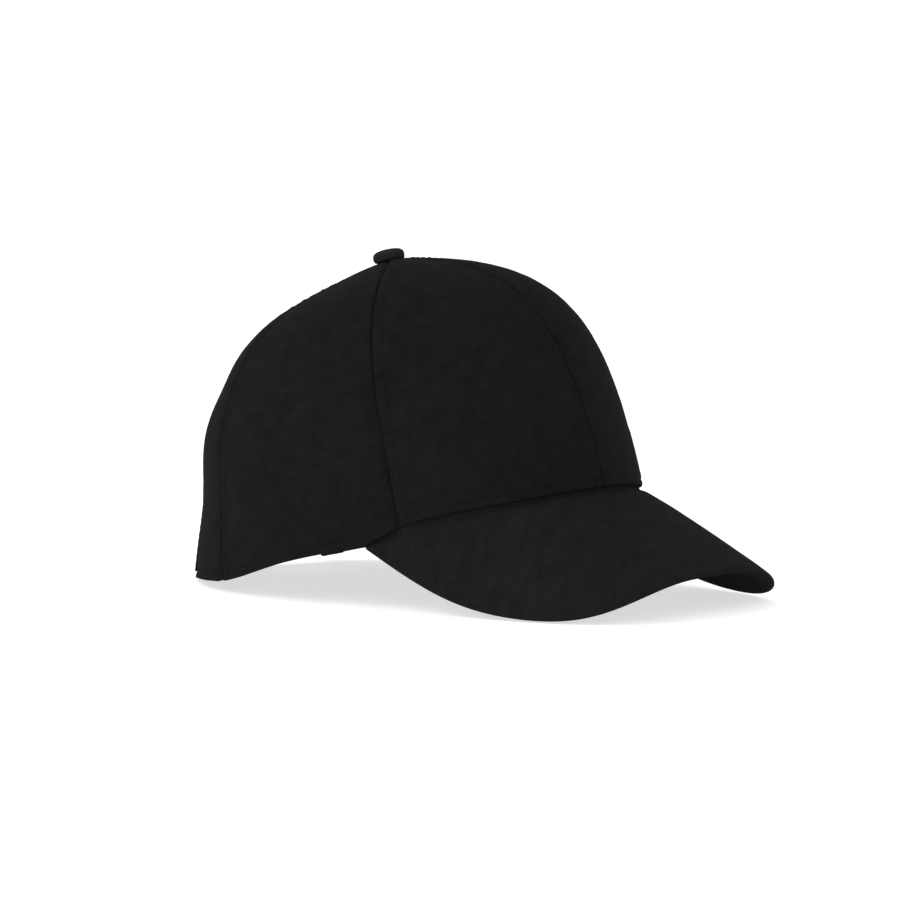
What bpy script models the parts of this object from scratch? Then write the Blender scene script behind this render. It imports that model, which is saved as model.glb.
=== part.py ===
"""A six-panel baseball cap with a curved brim, a sweatband and a strap that a clamp buckle holds.

The cap is modelled in its own frame, in metres: +X is the wearer's left, -Y is forward and +Z is up, with the
origin in the middle of the head opening. Angles run round the head from the front, positive to the wearer's left.
At the end one empty tips the cap back until it stands on the two sides of its brim and the rear of its rim.
"""

import math

import bmesh
import bpy
from mathutils import Matrix, Vector

# Head opening: an ellipse seen from above, measured outside the fabric.
RIM_HALF_LENGTH = 0.102
RIM_HALF_WIDTH = 0.0851
RIM_FRONT_HEIGHT = 0.0215
RIM_REAR_HEIGHT = -0.0028
RIM_ARCH_POWER = 0.69

# Crown: each upright section is a curve from the rim to the apex, with (front, side, rear) values.
CROWN_HEIGHT = 0.1256
APEX_Y = 0.0035
WALL_LEAN = [math.radians(a) for a in (8.3, 1.1, 3.5)]
TOP_SLOPE = [math.radians(a) for a in (-1.2, 8.5, 18.3)]
WALL_FULLNESS = (0.590, 0.630, 0.779)
TOP_FULLNESS = (0.654, 0.876, 0.585)
FLARE = 0.0033
FLARE_HEIGHT = 0.026
FLARE_POWER = 1.3
FLARE_STARTS = math.radians(90)
FLARE_IS_FULL = math.radians(132)

# Seams between the panels: name, angle at the rim, and how far the seam bows round the head half way up.
SEAMS = [
    ("front", 0, 0),
    ("front_left", 61, 4),
    ("rear_left", 118, 2),
    ("rear", 180, 0),
    ("rear_right", 242, -2),
    ("front_right", 299, -4),
]
SEAM_GAP = 0.0004
APEX_HOLE_RADIUS = 0.0045

# Layers of the crown, as depths below its outer surface.
PANEL_THICKNESS = 0.0012
BACKING_DEPTH = 0.0018
BACKING_THICKNESS = 0.0007
BACKING_MIDDLE_EDGE = math.radians(1.2)
BACKING_EDGE = math.radians(5)
BACKING_LOW = 0.05
BACKING_HIGH = 0.86
TAPE_THICKNESS = 0.0005
TAPE_GAP = 0.0005
TAPE_WIDTH = 0.011
TAPE_TOP_RADIUS = 0.015
SWEATBAND_DEPTH = 0.0040
SWEATBAND_REAR_DEPTH = 0.0054
SWEATBAND_THICKNESS = 0.0012
SWEATBAND_LOW = 0.002
SWEATBAND_HIGH = 0.031
SWEATBAND_END = math.radians(149)

# Brim: a board that slopes forward and arches across, with its outer edge a superellipse seen from above.
BRIM_LENGTH = 0.0561
BRIM_HALF_WIDTH = 0.0767
BRIM_CORNER = math.radians(70.4)
BRIM_EDGE_POWER = 3.45
BRIM_SLOPE = math.tan(math.radians(34.2))
BRIM_ARCH = 0.0573
BRIM_ARCH_AT = 0.080
BRIM_ARCH_POWER = 2.95
BRIM_ARCH_CHANGE = -0.71
BRIM_TUCK = 0.0010
BRIM_JOINT_GAP = 0.0004
BRIM_COVER_THICKNESS = 0.0006
BRIM_BOARD_THICKNESS = 0.0012
BRIM_BOARD_EDGE_MARGIN = 0.02
BRIM_LAYER_GAP = 0.0004
BRIM_COLUMNS = 28
BRIM_REACH = 0.965
LAYER_GAP = 0.0003

# Button on the apex, turned about its own axis.
BUTTON_RADIUS = 0.0068
BUTTON_HEIGHT = 0.0046
BUTTON_FLAT_RADIUS = 0.0025
BUTTON_SHELL = 0.0008
BUTTON_LIFT = 0.0005
BUTTON_TILT = math.radians(7.8)
POST_RADIUS = 0.0015
POST_FOOT_RADIUS = 0.0026
WASHER_RADIUS = 0.0075
WASHER_TOP = -0.0029
WASHER_THICKNESS = 0.0008

# Opening at the rear, and the strap that crosses it on an arc about one upright axis.
OPENING_HALF_WIDTH = 0.042
OPENING_HEIGHT = 0.048
BINDING_WIDTH = 0.007
BINDING_DEPTH = 0.0017
BINDING_THICKNESS = 0.0006
CLOSURE_RADIUS = 0.080
POCKET_ANGLE = math.radians(141)
STRAP_ABOVE_RIM = 0.005
STRAP_WIDTH = 0.019
STRAP_THICKNESS = 0.0012
STRAP_DEPTH = 0.0029
STRAP_FIXED_END = -0.065
STRAP_TAIL_END = 0.064

# Clamp buckle. "Along" runs round the strap to the wearer's right, from the middle of the rear.
HINGE_ALONG = 0.031
HINGE_DEPTH = 0.0008
PIN_RADIUS = 0.0007
PIN_HOLE_RADIUS = 0.0010
KNUCKLE_RADIUS = 0.0017
LEVER_LENGTH = 0.0142
LEVER_LIP = 0.0016
LEVER_LIP_HEIGHT = 0.0011
BITE_FROM_HINGE = 0.0026
BITE_WIDTH = 0.0014
EAR_THICKNESS = 0.0008
EAR_CLEARANCE = 0.0004
EAR_OUTER_DEPTH = -0.0015
FRAME_LEFT = -0.0145
FRAME_RIGHT = 0.0062
BASE_LEFT = -0.0140
BASE_RIGHT = 0.0015
BASE_THICKNESS = 0.0008
LOOP_BAR_ALONG = 0.0048
LOOP_BAR_SIZE = 0.0012
LOOP_BAR_DEPTH = 0.0009
LOOP_THICKNESS = 0.0006
LOOP_SHORT_LEG = 0.0026
LOOP_END = 0.052
LOOP_WIDTH = 0.016

BLACK_TWILL = ((0.012, 0.012, 0.013), 0.9, 0.0)
BLACK_TAPE = ((0.016, 0.016, 0.017), 0.8, 0.0)
WHITE_BUCKRAM = ((0.55, 0.55, 0.52), 0.9, 0.0)
BRIM_PLASTIC = ((0.03, 0.03, 0.03), 0.5, 0.0)
DARK_METAL = ((0.10, 0.10, 0.11), 0.35, 1.0)


# ---------------------------------------------------------------- the crown's surface


def mix(a, b, share):
    return a + (b - a) * share


def smooth_share(value, start, end):
    share = min(max((value - start) / (end - start), 0), 1)
    return share * share * (3 - 2 * share)


def around(values, angle):
    """A value that changes smoothly round the head through its (front, side, rear) values."""
    front, side, rear = values
    mean = (front + rear + 2 * side) / 4
    return mean + (front - rear) / 2 * math.cos(angle) + (front + rear - 2 * side) / 4 * math.cos(2 * angle)


def turn_from_front(angle):
    return abs(math.remainder(angle, math.tau))


def rim_plan(angle):
    return Vector((RIM_HALF_WIDTH * math.sin(angle), -RIM_HALF_LENGTH * math.cos(angle)))


def brim_surface_height(x, y):
    """Height of the brim's top face, a ruled surface whose straight lines run forward."""
    forward = -y - RIM_HALF_LENGTH
    arch = BRIM_ARCH * (abs(x) / BRIM_ARCH_AT) ** BRIM_ARCH_POWER * (1 + BRIM_ARCH_CHANGE * forward)
    return RIM_FRONT_HEIGHT - BRIM_SLOPE * forward - arch


def rim_height(angle):
    """Height of the rim: arched over the brim, and in one sloping plane behind it."""
    corner = rim_plan(BRIM_CORNER)
    corner_height = brim_surface_height(corner.x, corner.y)
    turn = turn_from_front(angle)
    if turn < BRIM_CORNER:
        rise = math.cos(math.pi / 2 * turn / BRIM_CORNER) ** RIM_ARCH_POWER
        return mix(corner_height, RIM_FRONT_HEIGHT, rise)
    back = (rim_plan(angle).y - corner.y) / (RIM_HALF_LENGTH - corner.y)
    return mix(corner_height, RIM_REAR_HEIGHT, back)


def crown_surface(angle, share):
    """A point on the crown's outer surface, from the rim (share 0) to the apex (share 1)."""
    outward = rim_plan(angle) - Vector((0, APEX_Y))
    radius = outward.length
    outward.normalize()
    lean, slope = around(WALL_LEAN, angle), around(TOP_SLOPE, angle)
    foot = Vector((radius, rim_height(angle)))
    apex = Vector((0, CROWN_HEIGHT))
    wall = foot + around(WALL_FULLNESS, angle) * CROWN_HEIGHT * Vector((-math.sin(lean), math.cos(lean)))
    top = apex + around(TOP_FULLNESS, angle) * radius * Vector((math.cos(slope), -math.sin(slope)))
    rest = 1 - share
    section = rest**3 * foot + 3 * rest**2 * share * wall + 3 * rest * share**2 * top + share**3 * apex
    near_rim = max(0, 1 - (section.y - foot.y) / FLARE_HEIGHT) ** FLARE_POWER
    flare = FLARE * near_rim * smooth_share(turn_from_front(angle), FLARE_STARTS, FLARE_IS_FULL)
    plan = Vector((0, APEX_Y)) + outward * (section.x + flare)
    return Vector((plan.x, plan.y, section.y))


def crown_point(angle, share, depth=0.0):
    """A point at a depth below the crown's outer surface."""
    step = 0.001
    across = crown_surface(angle + step, share) - crown_surface(angle - step, share)
    up = crown_surface(angle, share + step) - crown_surface(angle, max(share - step, 0))
    return crown_surface(angle, share) - across.cross(up).normalized() * depth


def bisect(low, high, too_low):
    """The value between low and high where too_low(value) stops being true."""
    for _ in range(30):
        middle = (low + high) / 2
        low, high = (middle, high) if too_low(middle) else (low, middle)
    return (low + high) / 2


def share_at_height(angle, height):
    return bisect(0, 1, lambda share: crown_surface(angle, share).z < height)


def radius_at(angle, share):
    return (crown_surface(angle, share).xy - Vector((0, APEX_Y))).length


def share_at_radius(angle, radius):
    return bisect(0.5, 1, lambda share: radius_at(angle, share) > radius)


def seam_angle(seam, up):
    """Angle of a seam at a share of its way up from the rim."""
    _, degrees, bow = seam
    return math.radians(degrees + bow * math.sin(math.pi * up))


# ---------------------------------------------------------------- building tools


def start_empty():
    for thing in list(bpy.data.objects):
        bpy.data.objects.remove(thing)


def new_collection(name):
    collection = bpy.data.collections.new(name)
    bpy.context.scene.collection.children.link(collection)
    return collection


def add_object(name, mesh, collection):
    thing = bpy.data.objects.new(name, mesh)
    collection.objects.link(thing)
    return thing


def give_material(thing, look):
    colour, roughness, metallic = look
    material = bpy.data.materials.new(thing.name)
    material.use_nodes = True
    shader = material.node_tree.nodes["Principled BSDF"]
    shader.inputs["Base Color"].default_value = (*colour, 1)
    shader.inputs["Roughness"].default_value = roughness
    shader.inputs["Metallic"].default_value = metallic
    thing.data.materials.append(material)


def mapped_grid(name, columns, rows, place):
    """A grid whose corners (0 to 1 across, 0 to 1 up) are moved to place(across, up)."""
    shape = bmesh.new()
    bmesh.ops.create_grid(shape, x_segments=columns, y_segments=rows, size=0.5)
    for vertex in shape.verts:
        vertex.co = place(vertex.co.x + 0.5, vertex.co.y + 0.5)
    mesh = bpy.data.meshes.new(name)
    shape.to_mesh(mesh)
    shape.free()
    return mesh


def shell(name, columns, rows, place, thickness, look):
    """A sheet of an even thickness, whose outer face is the mapped grid."""
    thing = add_object(name, mapped_grid(name, columns, rows, place), parts)
    solidify = thing.modifiers.new("thickness", "SOLIDIFY")
    solidify.thickness = thickness
    solidify.offset = -1
    give_material(thing, look)
    for face in thing.data.polygons:
        face.use_smooth = True
    return thing


def turned(name, profile, look, steps=32):
    """A solid of revolution about Z. The profile's (radius, height) points run down its outer side."""
    mesh = bpy.data.meshes.new(name)
    shape = bmesh.new()
    points = [shape.verts.new((radius, 0, height)) for radius, height in profile]
    closed = profile[0][0] > 0
    for first, second in zip(points, points[1:] + points[:1] if closed else points[1:]):
        shape.edges.new((first, second))
    shape.to_mesh(mesh)
    shape.free()
    thing = add_object(name, mesh, parts)
    screw = thing.modifiers.new("turn", "SCREW")
    screw.steps = screw.render_steps = steps
    screw.use_merge_vertices = True
    screw.merge_threshold = 0.00001
    give_material(thing, look)
    return thing


def cut(thing, cutter, operation="DIFFERENCE"):
    boolean = thing.modifiers.new(cutter.name, "BOOLEAN")
    boolean.operation = operation
    boolean.object = cutter


def make_guide(thing):
    """Marks an object that only shapes others."""
    thing.hide_render = True
    thing.display_type = "WIRE"
    return thing


# ---------------------------------------------------------------- crown


def crown_panel(name, first_seam, last_seam):
    """One fabric panel of the crown, between two seams."""

    def place(across, up):
        at_rim = mix(seam_angle(first_seam, 0), seam_angle(last_seam, 0), across)
        share = up * share_at_radius(at_rim, APEX_HOLE_RADIUS)
        first, last = seam_angle(first_seam, up), seam_angle(last_seam, up)
        half_gap = SEAM_GAP / 2 / radius_at(mix(first, last, across), share)
        return crown_point(mix(first + half_gap, last - half_gap, across), share)

    return shell(name, 9, 12, place, PANEL_THICKNESS, BLACK_TWILL)


def crown_panels():
    """Six panels, each from one seam to the next one round the head."""
    names = ["front_panel_left", "side_panel_left", "rear_panel_left"]
    names += ["rear_panel_right", "side_panel_right", "front_panel_right"]
    following = SEAMS[1:] + [("front", 360, 0)]
    return {name: crown_panel(name, *seams) for name, seams in zip(names, zip(SEAMS, following))}


def front_backing(side, sign):
    """The stiff open-weave backing behind one front panel."""

    near, far = BACKING_MIDDLE_EDGE, math.radians(SEAMS[1][1]) - BACKING_EDGE
    first, last = (near, far) if sign > 0 else (-far, -near)

    def place(across, up):
        return crown_point(mix(first, last, across), mix(BACKING_LOW, BACKING_HIGH, up), BACKING_DEPTH)

    return shell(f"front_backing_{side}", 8, 12, place, BACKING_THICKNESS, WHITE_BUCKRAM)


def seam_tape(seam):
    """The woven tape that covers a seam inside the crown, above the sweatband."""
    name, degrees, _ = seam
    angle = math.radians(degrees)
    in_front = turn_from_front(angle) < math.pi / 2
    depth = BACKING_DEPTH + (BACKING_THICKNESS + TAPE_GAP if in_front else 0)
    foot = rim_height(angle) + SWEATBAND_HIGH - TAPE_WIDTH / 2
    if name == "rear":
        foot = RIM_REAR_HEIGHT + OPENING_HEIGHT + BINDING_WIDTH + LAYER_GAP
    low, high = share_at_height(angle, foot), share_at_radius(angle, TAPE_TOP_RADIUS)

    def place(across, up):
        share = mix(low, high, up)
        middle = seam_angle(seam, share / share_at_radius(angle, APEX_HOLE_RADIUS))
        return crown_point(middle + (across - 0.5) * TAPE_WIDTH / radius_at(middle, share), share, depth)

    return shell(f"seam_tape_{name}", 2, 12, place, TAPE_THICKNESS, BLACK_TAPE)


def sweatband():
    """The band inside the rim. Behind the strap's pockets it stands further from the panels."""

    def place(across, up):
        angle = mix(-SWEATBAND_END, SWEATBAND_END, across)
        share = share_at_height(angle, rim_height(angle) + mix(SWEATBAND_LOW, SWEATBAND_HIGH, up))
        at_pocket = smooth_share(turn_from_front(angle), math.radians(105), math.radians(126))
        return crown_point(angle, share, mix(SWEATBAND_DEPTH, SWEATBAND_REAR_DEPTH, at_pocket))

    return shell("sweatband", 46, 3, place, SWEATBAND_THICKNESS, BLACK_TWILL)


# ---------------------------------------------------------------- brim


def brim_edge_plan(side):
    """The brim's outer edge seen from above, from one corner (side -1) to the other (side 1)."""
    corner = rim_plan(BRIM_CORNER)
    bend = 2 / BRIM_EDGE_POWER
    turn = math.pi / 2 * (1 - (1 - abs(side)) ** (1 / bend))
    half_width = mix(BRIM_HALF_WIDTH, corner.x, math.sin(turn) ** 16)
    forward = mix(corner.y, -RIM_HALF_LENGTH - BRIM_LENGTH, abs(math.cos(turn)) ** bend)
    return Vector((math.copysign(half_width * math.sin(turn) ** bend, side), forward))


def brim_point(side, out):
    """A point on the brim's top face, from the crown (out 0) to the outer edge (out 1)."""
    angle = BRIM_CORNER * side
    joint = rim_plan(angle)
    joint *= 1 - BRIM_TUCK / joint.length
    plan = joint.lerp(brim_edge_plan(side), out)
    joint_error = rim_height(angle) - brim_surface_height(joint.x, joint.y)
    height = brim_surface_height(plan.x, plan.y) + joint_error * (1 - out) ** 2
    return Vector((plan.x, plan.y, height - BRIM_JOINT_GAP))


def brim_layer(name, depth, thickness, look, columns_short=0, edge_margin=0.0):
    """One layer of the brim. It stops so many columns short of the corners, and a share short of the edge."""
    reach = BRIM_REACH * (1 - 2 * columns_short / BRIM_COLUMNS)

    def place(across, up):
        side, out = mix(-reach, reach, across), mix(1 - edge_margin, edge_margin, up)
        step = 0.002
        along = brim_point(min(side + step, 1), out) - brim_point(max(side - step, -1), out)
        inward = brim_point(side, max(out - step, 0)) - brim_point(side, min(out + step, 1))
        return brim_point(side, out) - along.cross(inward).normalized() * depth

    return shell(name, BRIM_COLUMNS - 2 * columns_short, 5, place, thickness, look)


def brim():
    board_depth = BRIM_COVER_THICKNESS + BRIM_LAYER_GAP
    under_depth = board_depth + BRIM_BOARD_THICKNESS + BRIM_LAYER_GAP
    brim_layer("brim_top_cover", 0, BRIM_COVER_THICKNESS, BLACK_TWILL)
    brim_layer("brim_board", board_depth, BRIM_BOARD_THICKNESS, BRIM_PLASTIC, 1, BRIM_BOARD_EDGE_MARGIN)
    brim_layer("brim_under_cover", under_depth, BRIM_COVER_THICKNESS, BLACK_TWILL)


# ---------------------------------------------------------------- button


def button():
    """The covered button: a domed shell, a post through the apex and the washer that the post is riveted over."""
    place = Matrix.Translation((0, APEX_Y, CROWN_HEIGHT)) @ Matrix.Rotation(-BUTTON_TILT, 4, "X")

    def dome(radius, height, flat):
        corners = [math.radians(a) for a in range(90, -1, -15)]
        return [(flat + (radius - flat) * math.cos(a), height * math.sin(a)) for a in corners]

    outer = [(r, z + BUTTON_LIFT) for r, z in dome(BUTTON_RADIUS, BUTTON_HEIGHT, BUTTON_FLAT_RADIUS)]
    inner = [
        (r, z + BUTTON_LIFT)
        for r, z in dome(BUTTON_RADIUS - BUTTON_SHELL, BUTTON_HEIGHT - BUTTON_SHELL, BUTTON_FLAT_RADIUS)
    ]
    shell_profile = [(0, outer[0][1]), *outer, *reversed(inner), (0, inner[0][1])]
    foot = WASHER_TOP - WASHER_THICKNESS - LAYER_GAP
    post_top = BUTTON_LIFT + BUTTON_HEIGHT - BUTTON_SHELL - LAYER_GAP
    post_profile = [(0, post_top), (POST_RADIUS, post_top), (POST_RADIUS, foot), (POST_FOOT_RADIUS, foot)]
    post_profile += [(POST_FOOT_RADIUS, foot - WASHER_THICKNESS), (0, foot - WASHER_THICKNESS)]
    bore = POST_RADIUS + LAYER_GAP
    bottom = WASHER_TOP - WASHER_THICKNESS
    washer_profile = [(WASHER_RADIUS, WASHER_TOP), (WASHER_RADIUS, bottom), (bore, bottom), (bore, WASHER_TOP)]
    pieces = [
        turned("button_shell", shell_profile, BLACK_TWILL),
        turned("button_post", post_profile, DARK_METAL, steps=20),
        turned("button_washer", washer_profile, DARK_METAL),
    ]
    for piece in pieces:
        piece.matrix_world = place


# ---------------------------------------------------------------- rear opening


def rear_point(x, above_rim, depth):
    """A point at a depth below the crown at the rear, by its distance from the middle and its height."""
    height = RIM_REAR_HEIGHT + above_rim
    angle = bisect(
        math.pi / 2,
        math.pi * 3 / 2,
        lambda angle: crown_surface(angle, share_at_height(angle, height)).x > x,
    )
    return crown_point(angle, share_at_height(angle, height), depth)


def opening_cutter():
    """An elliptical bar that cuts the arched opening in the rear panels."""
    shape = bmesh.new()
    bmesh.ops.create_cone(
        shape, segments=56, radius1=OPENING_HALF_WIDTH, radius2=OPENING_HALF_WIDTH, depth=0.09, cap_ends=True
    )
    stretch = Matrix.Diagonal((1, OPENING_HEIGHT / OPENING_HALF_WIDTH, 1, 1))
    lie_down = Matrix.Rotation(math.pi / 2, 4, "X")
    move = Matrix.Translation((0, RIM_HALF_LENGTH, RIM_REAR_HEIGHT))
    bmesh.ops.transform(shape, matrix=move @ lie_down @ stretch, verts=shape.verts)
    mesh = bpy.data.meshes.new("opening_cutter")
    shape.to_mesh(mesh)
    shape.free()
    return make_guide(add_object("opening_cutter", mesh, guides))


def opening_binding():
    """The tape sewn round the arch of the opening, inside the panels and above the strap."""
    start = math.asin((STRAP_ABOVE_RIM + STRAP_WIDTH + 0.002) / OPENING_HEIGHT)

    def place(across, up):
        turn = mix(start, math.pi - start, across)
        wide = OPENING_HALF_WIDTH + up * BINDING_WIDTH
        high = OPENING_HEIGHT + up * BINDING_WIDTH
        return rear_point(wide * math.cos(turn), high * math.sin(turn), BINDING_DEPTH)

    return shell("opening_binding", 20, 2, place, BINDING_THICKNESS, BLACK_TAPE)


# ---------------------------------------------------------------- strap and buckle


def closure_frame():
    """The frame of the strap's arc: its origin is the rear of the rim, with Z square to the rim's plane."""
    corner = rim_plan(BRIM_CORNER)
    slope = math.atan2(rim_height(BRIM_CORNER) - RIM_REAR_HEIGHT, RIM_HALF_LENGTH - corner.y)
    return Matrix.Translation((0, RIM_HALF_LENGTH, RIM_REAR_HEIGHT)) @ Matrix.Rotation(-slope, 4, "X")


def closure_cone():
    """Lean and foot radius of the cone that the wall of the crown makes about the strap's axis, at a pocket."""
    to_closure = closure_frame().inverted()
    low = to_closure @ crown_surface(POCKET_ANGLE, 0)
    high = to_closure @ crown_surface(POCKET_ANGLE, share_at_height(POCKET_ANGLE, low.z + STRAP_WIDTH))
    low_radius, high_radius = (math.hypot(p.x, p.y + CLOSURE_RADIUS) for p in (low, high))
    lean = math.atan2(low_radius - high_radius, high.z - low.z)
    return lean, low_radius - math.tan(lean) * (STRAP_ABOVE_RIM - low.z)


def closure_point(along, height, depth):
    """A point by its place along the strap, its height up the strap and its depth below the crown's surface."""
    turn = along / CLOSURE_RADIUS
    radius = CLOSURE_FOOT_RADIUS - height * math.sin(CLOSURE_LEAN) - depth * math.cos(CLOSURE_LEAN)
    rise = STRAP_ABOVE_RIM + height * math.cos(CLOSURE_LEAN) - depth * math.sin(CLOSURE_LEAN)
    return CLOSURE_FRAME @ Vector((-radius * math.sin(turn), radius * math.cos(turn) - CLOSURE_RADIUS, rise))


def strap_axis():
    """Two points on the axis that the strap's arc turns about."""
    return [CLOSURE_FRAME @ Vector((0, -CLOSURE_RADIUS, height)) for height in (0, STRAP_WIDTH)]


def hinge_axis():
    """The two ends of the buckle lever's hinge pin."""
    ends = (-EAR_CLEARANCE - EAR_THICKNESS, STRAP_WIDTH + EAR_CLEARANCE + EAR_THICKNESS)
    return [closure_point(HINGE_ALONG, height, HINGE_DEPTH) for height in ends]


def bar_outline(left, right, outer, inner):
    """A bar's outline in (along, depth), with enough points to follow the arc."""
    steps = max(1, round((right - left) / 0.004))
    alongs = [mix(left, right, step / steps) for step in range(steps + 1)]
    return [(along, outer) for along in alongs] + [(along, inner) for along in reversed(alongs)]


def arc_outline(along, depth, radius, start, end, step=30):
    """Points on an arc about (along, depth). Angles in degrees: 0 is to the right and 90 is outwards."""
    count = max(1, round(abs(end - start) / step))
    turns = [math.radians(mix(start, end, n / count)) for n in range(count + 1)]
    return [(along + radius * math.cos(turn), depth - radius * math.sin(turn)) for turn in turns]


def closure_solid(name, outline, low, high, collection):
    """An outline in (along, depth) made into a solid between two heights, laid on the strap's cone."""
    shape = bmesh.new()
    face = shape.faces.new([shape.verts.new((along, depth, low)) for along, depth in outline])
    raised = bmesh.ops.extrude_face_region(shape, geom=[face])["geom"]
    for vertex in raised:
        if isinstance(vertex, bmesh.types.BMVert):
            vertex.co.z = high
    for vertex in shape.verts:
        vertex.co = closure_point(vertex.co.x, vertex.co.z, vertex.co.y)
    shape.faces.ensure_lookup_table()
    bmesh.ops.recalc_face_normals(shape, faces=shape.faces)
    mesh = bpy.data.meshes.new(name)
    shape.to_mesh(mesh)
    shape.free()
    return add_object(name, mesh, collection)


def strap():
    """The strap across the opening, with both ends behind the panels."""

    def place(across, up):
        return closure_point(mix(STRAP_FIXED_END, STRAP_TAIL_END, across), up * STRAP_WIDTH, STRAP_DEPTH)

    thing = shell("strap", 32, 1, place, STRAP_THICKNESS, BLACK_TWILL)
    set_origin(thing, strap_axis()[0])


def buckle_frame():
    """The stamped frame: two ears, the base plate behind the strap and the bar that the fabric loop holds."""
    left, right = HINGE_ALONG + FRAME_LEFT, HINGE_ALONG + FRAME_RIGHT
    base_outer = STRAP_DEPTH + STRAP_THICKNESS + LAYER_GAP
    base_inner = base_outer + BASE_THICKNESS
    ear = bar_outline(left, right, EAR_OUTER_DEPTH, base_inner)
    low_ear = (-EAR_CLEARANCE - EAR_THICKNESS, -EAR_CLEARANCE)
    high_ear = (STRAP_WIDTH + EAR_CLEARANCE, STRAP_WIDTH + EAR_CLEARANCE + EAR_THICKNESS)
    between = (-EAR_CLEARANCE - EAR_THICKNESS / 2, STRAP_WIDTH + EAR_CLEARANCE + EAR_THICKNESS / 2)
    base = bar_outline(HINGE_ALONG + BASE_LEFT, HINGE_ALONG + BASE_RIGHT, base_outer, base_inner - LAYER_GAP / 3)
    bar_middle, half_bar = HINGE_ALONG + LOOP_BAR_ALONG, LOOP_BAR_SIZE / 2
    bar_sides = (bar_middle - half_bar, bar_middle + half_bar)
    bar = bar_outline(*bar_sides, LOOP_BAR_DEPTH - half_bar, LOOP_BAR_DEPTH + half_bar)
    hole = arc_outline(HINGE_ALONG, HINGE_DEPTH, PIN_HOLE_RADIUS, 0, 337.5, 22.5)
    thing = closure_solid("buckle_frame", ear, *low_ear, parts)
    for name, outline, heights in [("upper_ear", ear, high_ear), ("base", base, between), ("bar", bar, between)]:
        guide = make_guide(closure_solid(f"buckle_{name}_guide", outline, *heights, guides))
        cut(thing, guide, "UNION")
    beyond = (low_ear[0] - EAR_THICKNESS, high_ear[1] + EAR_THICKNESS)
    cut(thing, make_guide(closure_solid("pin_hole_cutter", hole, *beyond, guides)))
    give_material(thing, DARK_METAL)


def buckle_pin():
    low, high = -EAR_CLEARANCE - EAR_THICKNESS, STRAP_WIDTH + EAR_CLEARANCE + EAR_THICKNESS
    outline = arc_outline(HINGE_ALONG, HINGE_DEPTH, PIN_RADIUS, 0, 330, 30)
    give_material(closure_solid("buckle_pin", outline, low, high, parts), DARK_METAL)


def buckle_lever():
    """The clamp lever: a knuckle rolled round the pin, a plate over the strap, a ridge that bites it and a lip."""
    plate_outer = HINGE_DEPTH - KNUCKLE_RADIUS
    plate_inner = HINGE_DEPTH - PIN_HOLE_RADIUS * math.sin(math.radians(45))
    bite_depth = HINGE_DEPTH + KNUCKLE_RADIUS
    end = HINGE_ALONG - LEVER_LENGTH
    bite = HINGE_ALONG - BITE_FROM_HINGE
    outline = arc_outline(HINGE_ALONG, HINGE_DEPTH, KNUCKLE_RADIUS, 90, -150)
    outline += arc_outline(HINGE_ALONG, HINGE_DEPTH, PIN_HOLE_RADIUS, -150, 135)
    outline += [
        (bite, plate_inner),
        (bite - BITE_WIDTH * 0.2, bite_depth),
        (bite - BITE_WIDTH * 0.8, bite_depth),
        (bite - BITE_WIDTH, plate_inner),
        (mix(bite, end, 0.5), plate_inner),
        (end, plate_inner),
        (end - LEVER_LIP, plate_inner - LEVER_LIP_HEIGHT * 1.5),
        (end - LEVER_LIP * 0.5, plate_outer - LEVER_LIP_HEIGHT),
        (end + LEVER_LIP * 0.3, plate_outer),
        (mix(bite, end, 0.5), plate_outer),
        (bite, plate_outer),
    ]
    thing = closure_solid("buckle_lever", outline, 0, STRAP_WIDTH, parts)
    give_material(thing, DARK_METAL)
    low, high = hinge_axis()
    set_origin(thing, (low + high) / 2)


def buckle_loop():
    """The fabric tab folded round the frame's bar. Its long leg is sewn behind the rear panel."""
    bar = HINGE_ALONG + LOOP_BAR_ALONG
    inner = STRAP_DEPTH - LOOP_BAR_DEPTH - LAYER_GAP - LOOP_THICKNESS - 0.0001
    outer = inner + LOOP_THICKNESS
    steps = 4
    alongs = [mix(bar, LOOP_END, (step + 1) / steps) for step in range(steps)]
    outline = [(bar + LOOP_SHORT_LEG, LOOP_BAR_DEPTH - outer)]
    outline += arc_outline(bar, LOOP_BAR_DEPTH, outer, 90, 270)
    outline += [(along, LOOP_BAR_DEPTH + outer) for along in alongs]
    outline += [(along, LOOP_BAR_DEPTH + inner) for along in reversed(alongs)]
    outline += arc_outline(bar, LOOP_BAR_DEPTH, inner, 270, 90)
    outline += [(bar + LOOP_SHORT_LEG, LOOP_BAR_DEPTH - inner)]
    low = (STRAP_WIDTH - LOOP_WIDTH) / 2
    give_material(closure_solid("buckle_loop", outline, low, low + LOOP_WIDTH, parts), BLACK_TWILL)


def set_origin(thing, point):
    """Moves an object's origin to a point, and leaves its shape where it is."""
    thing.data.transform(Matrix.Translation(-point))
    thing.location = point


# ---------------------------------------------------------------- standing the cap on the ground


def stand_on_ground(cap):
    """Tips the cap until its brim and its rear rim touch Z = 0 together, centred over the origin."""
    bpy.context.view_layer.update()
    shapes = bpy.context.evaluated_depsgraph_get()
    points = []
    for thing in parts.objects:
        if thing.type == "MESH":
            evaluated = thing.evaluated_get(shapes)
            points += [evaluated.matrix_world @ vertex.co for vertex in evaluated.data.vertices]

    def tipped(pitch):
        return [Matrix.Rotation(-pitch, 3, "X") @ point for point in points]

    def rear_is_higher(pitch):
        placed = tipped(pitch)
        front = min(p.z for p, q in zip(placed, points) if q.y < 0)
        return min(p.z for p, q in zip(placed, points) if q.y > 0) > front

    pitch = bisect(0, math.radians(20), rear_is_higher)
    placed = tipped(pitch)
    middle = (min(p.y for p in placed) + max(p.y for p in placed)) / 2
    cap.rotation_euler = (-pitch, 0, 0)
    cap.location = (0, -middle, -min(p.z for p in placed))


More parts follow.
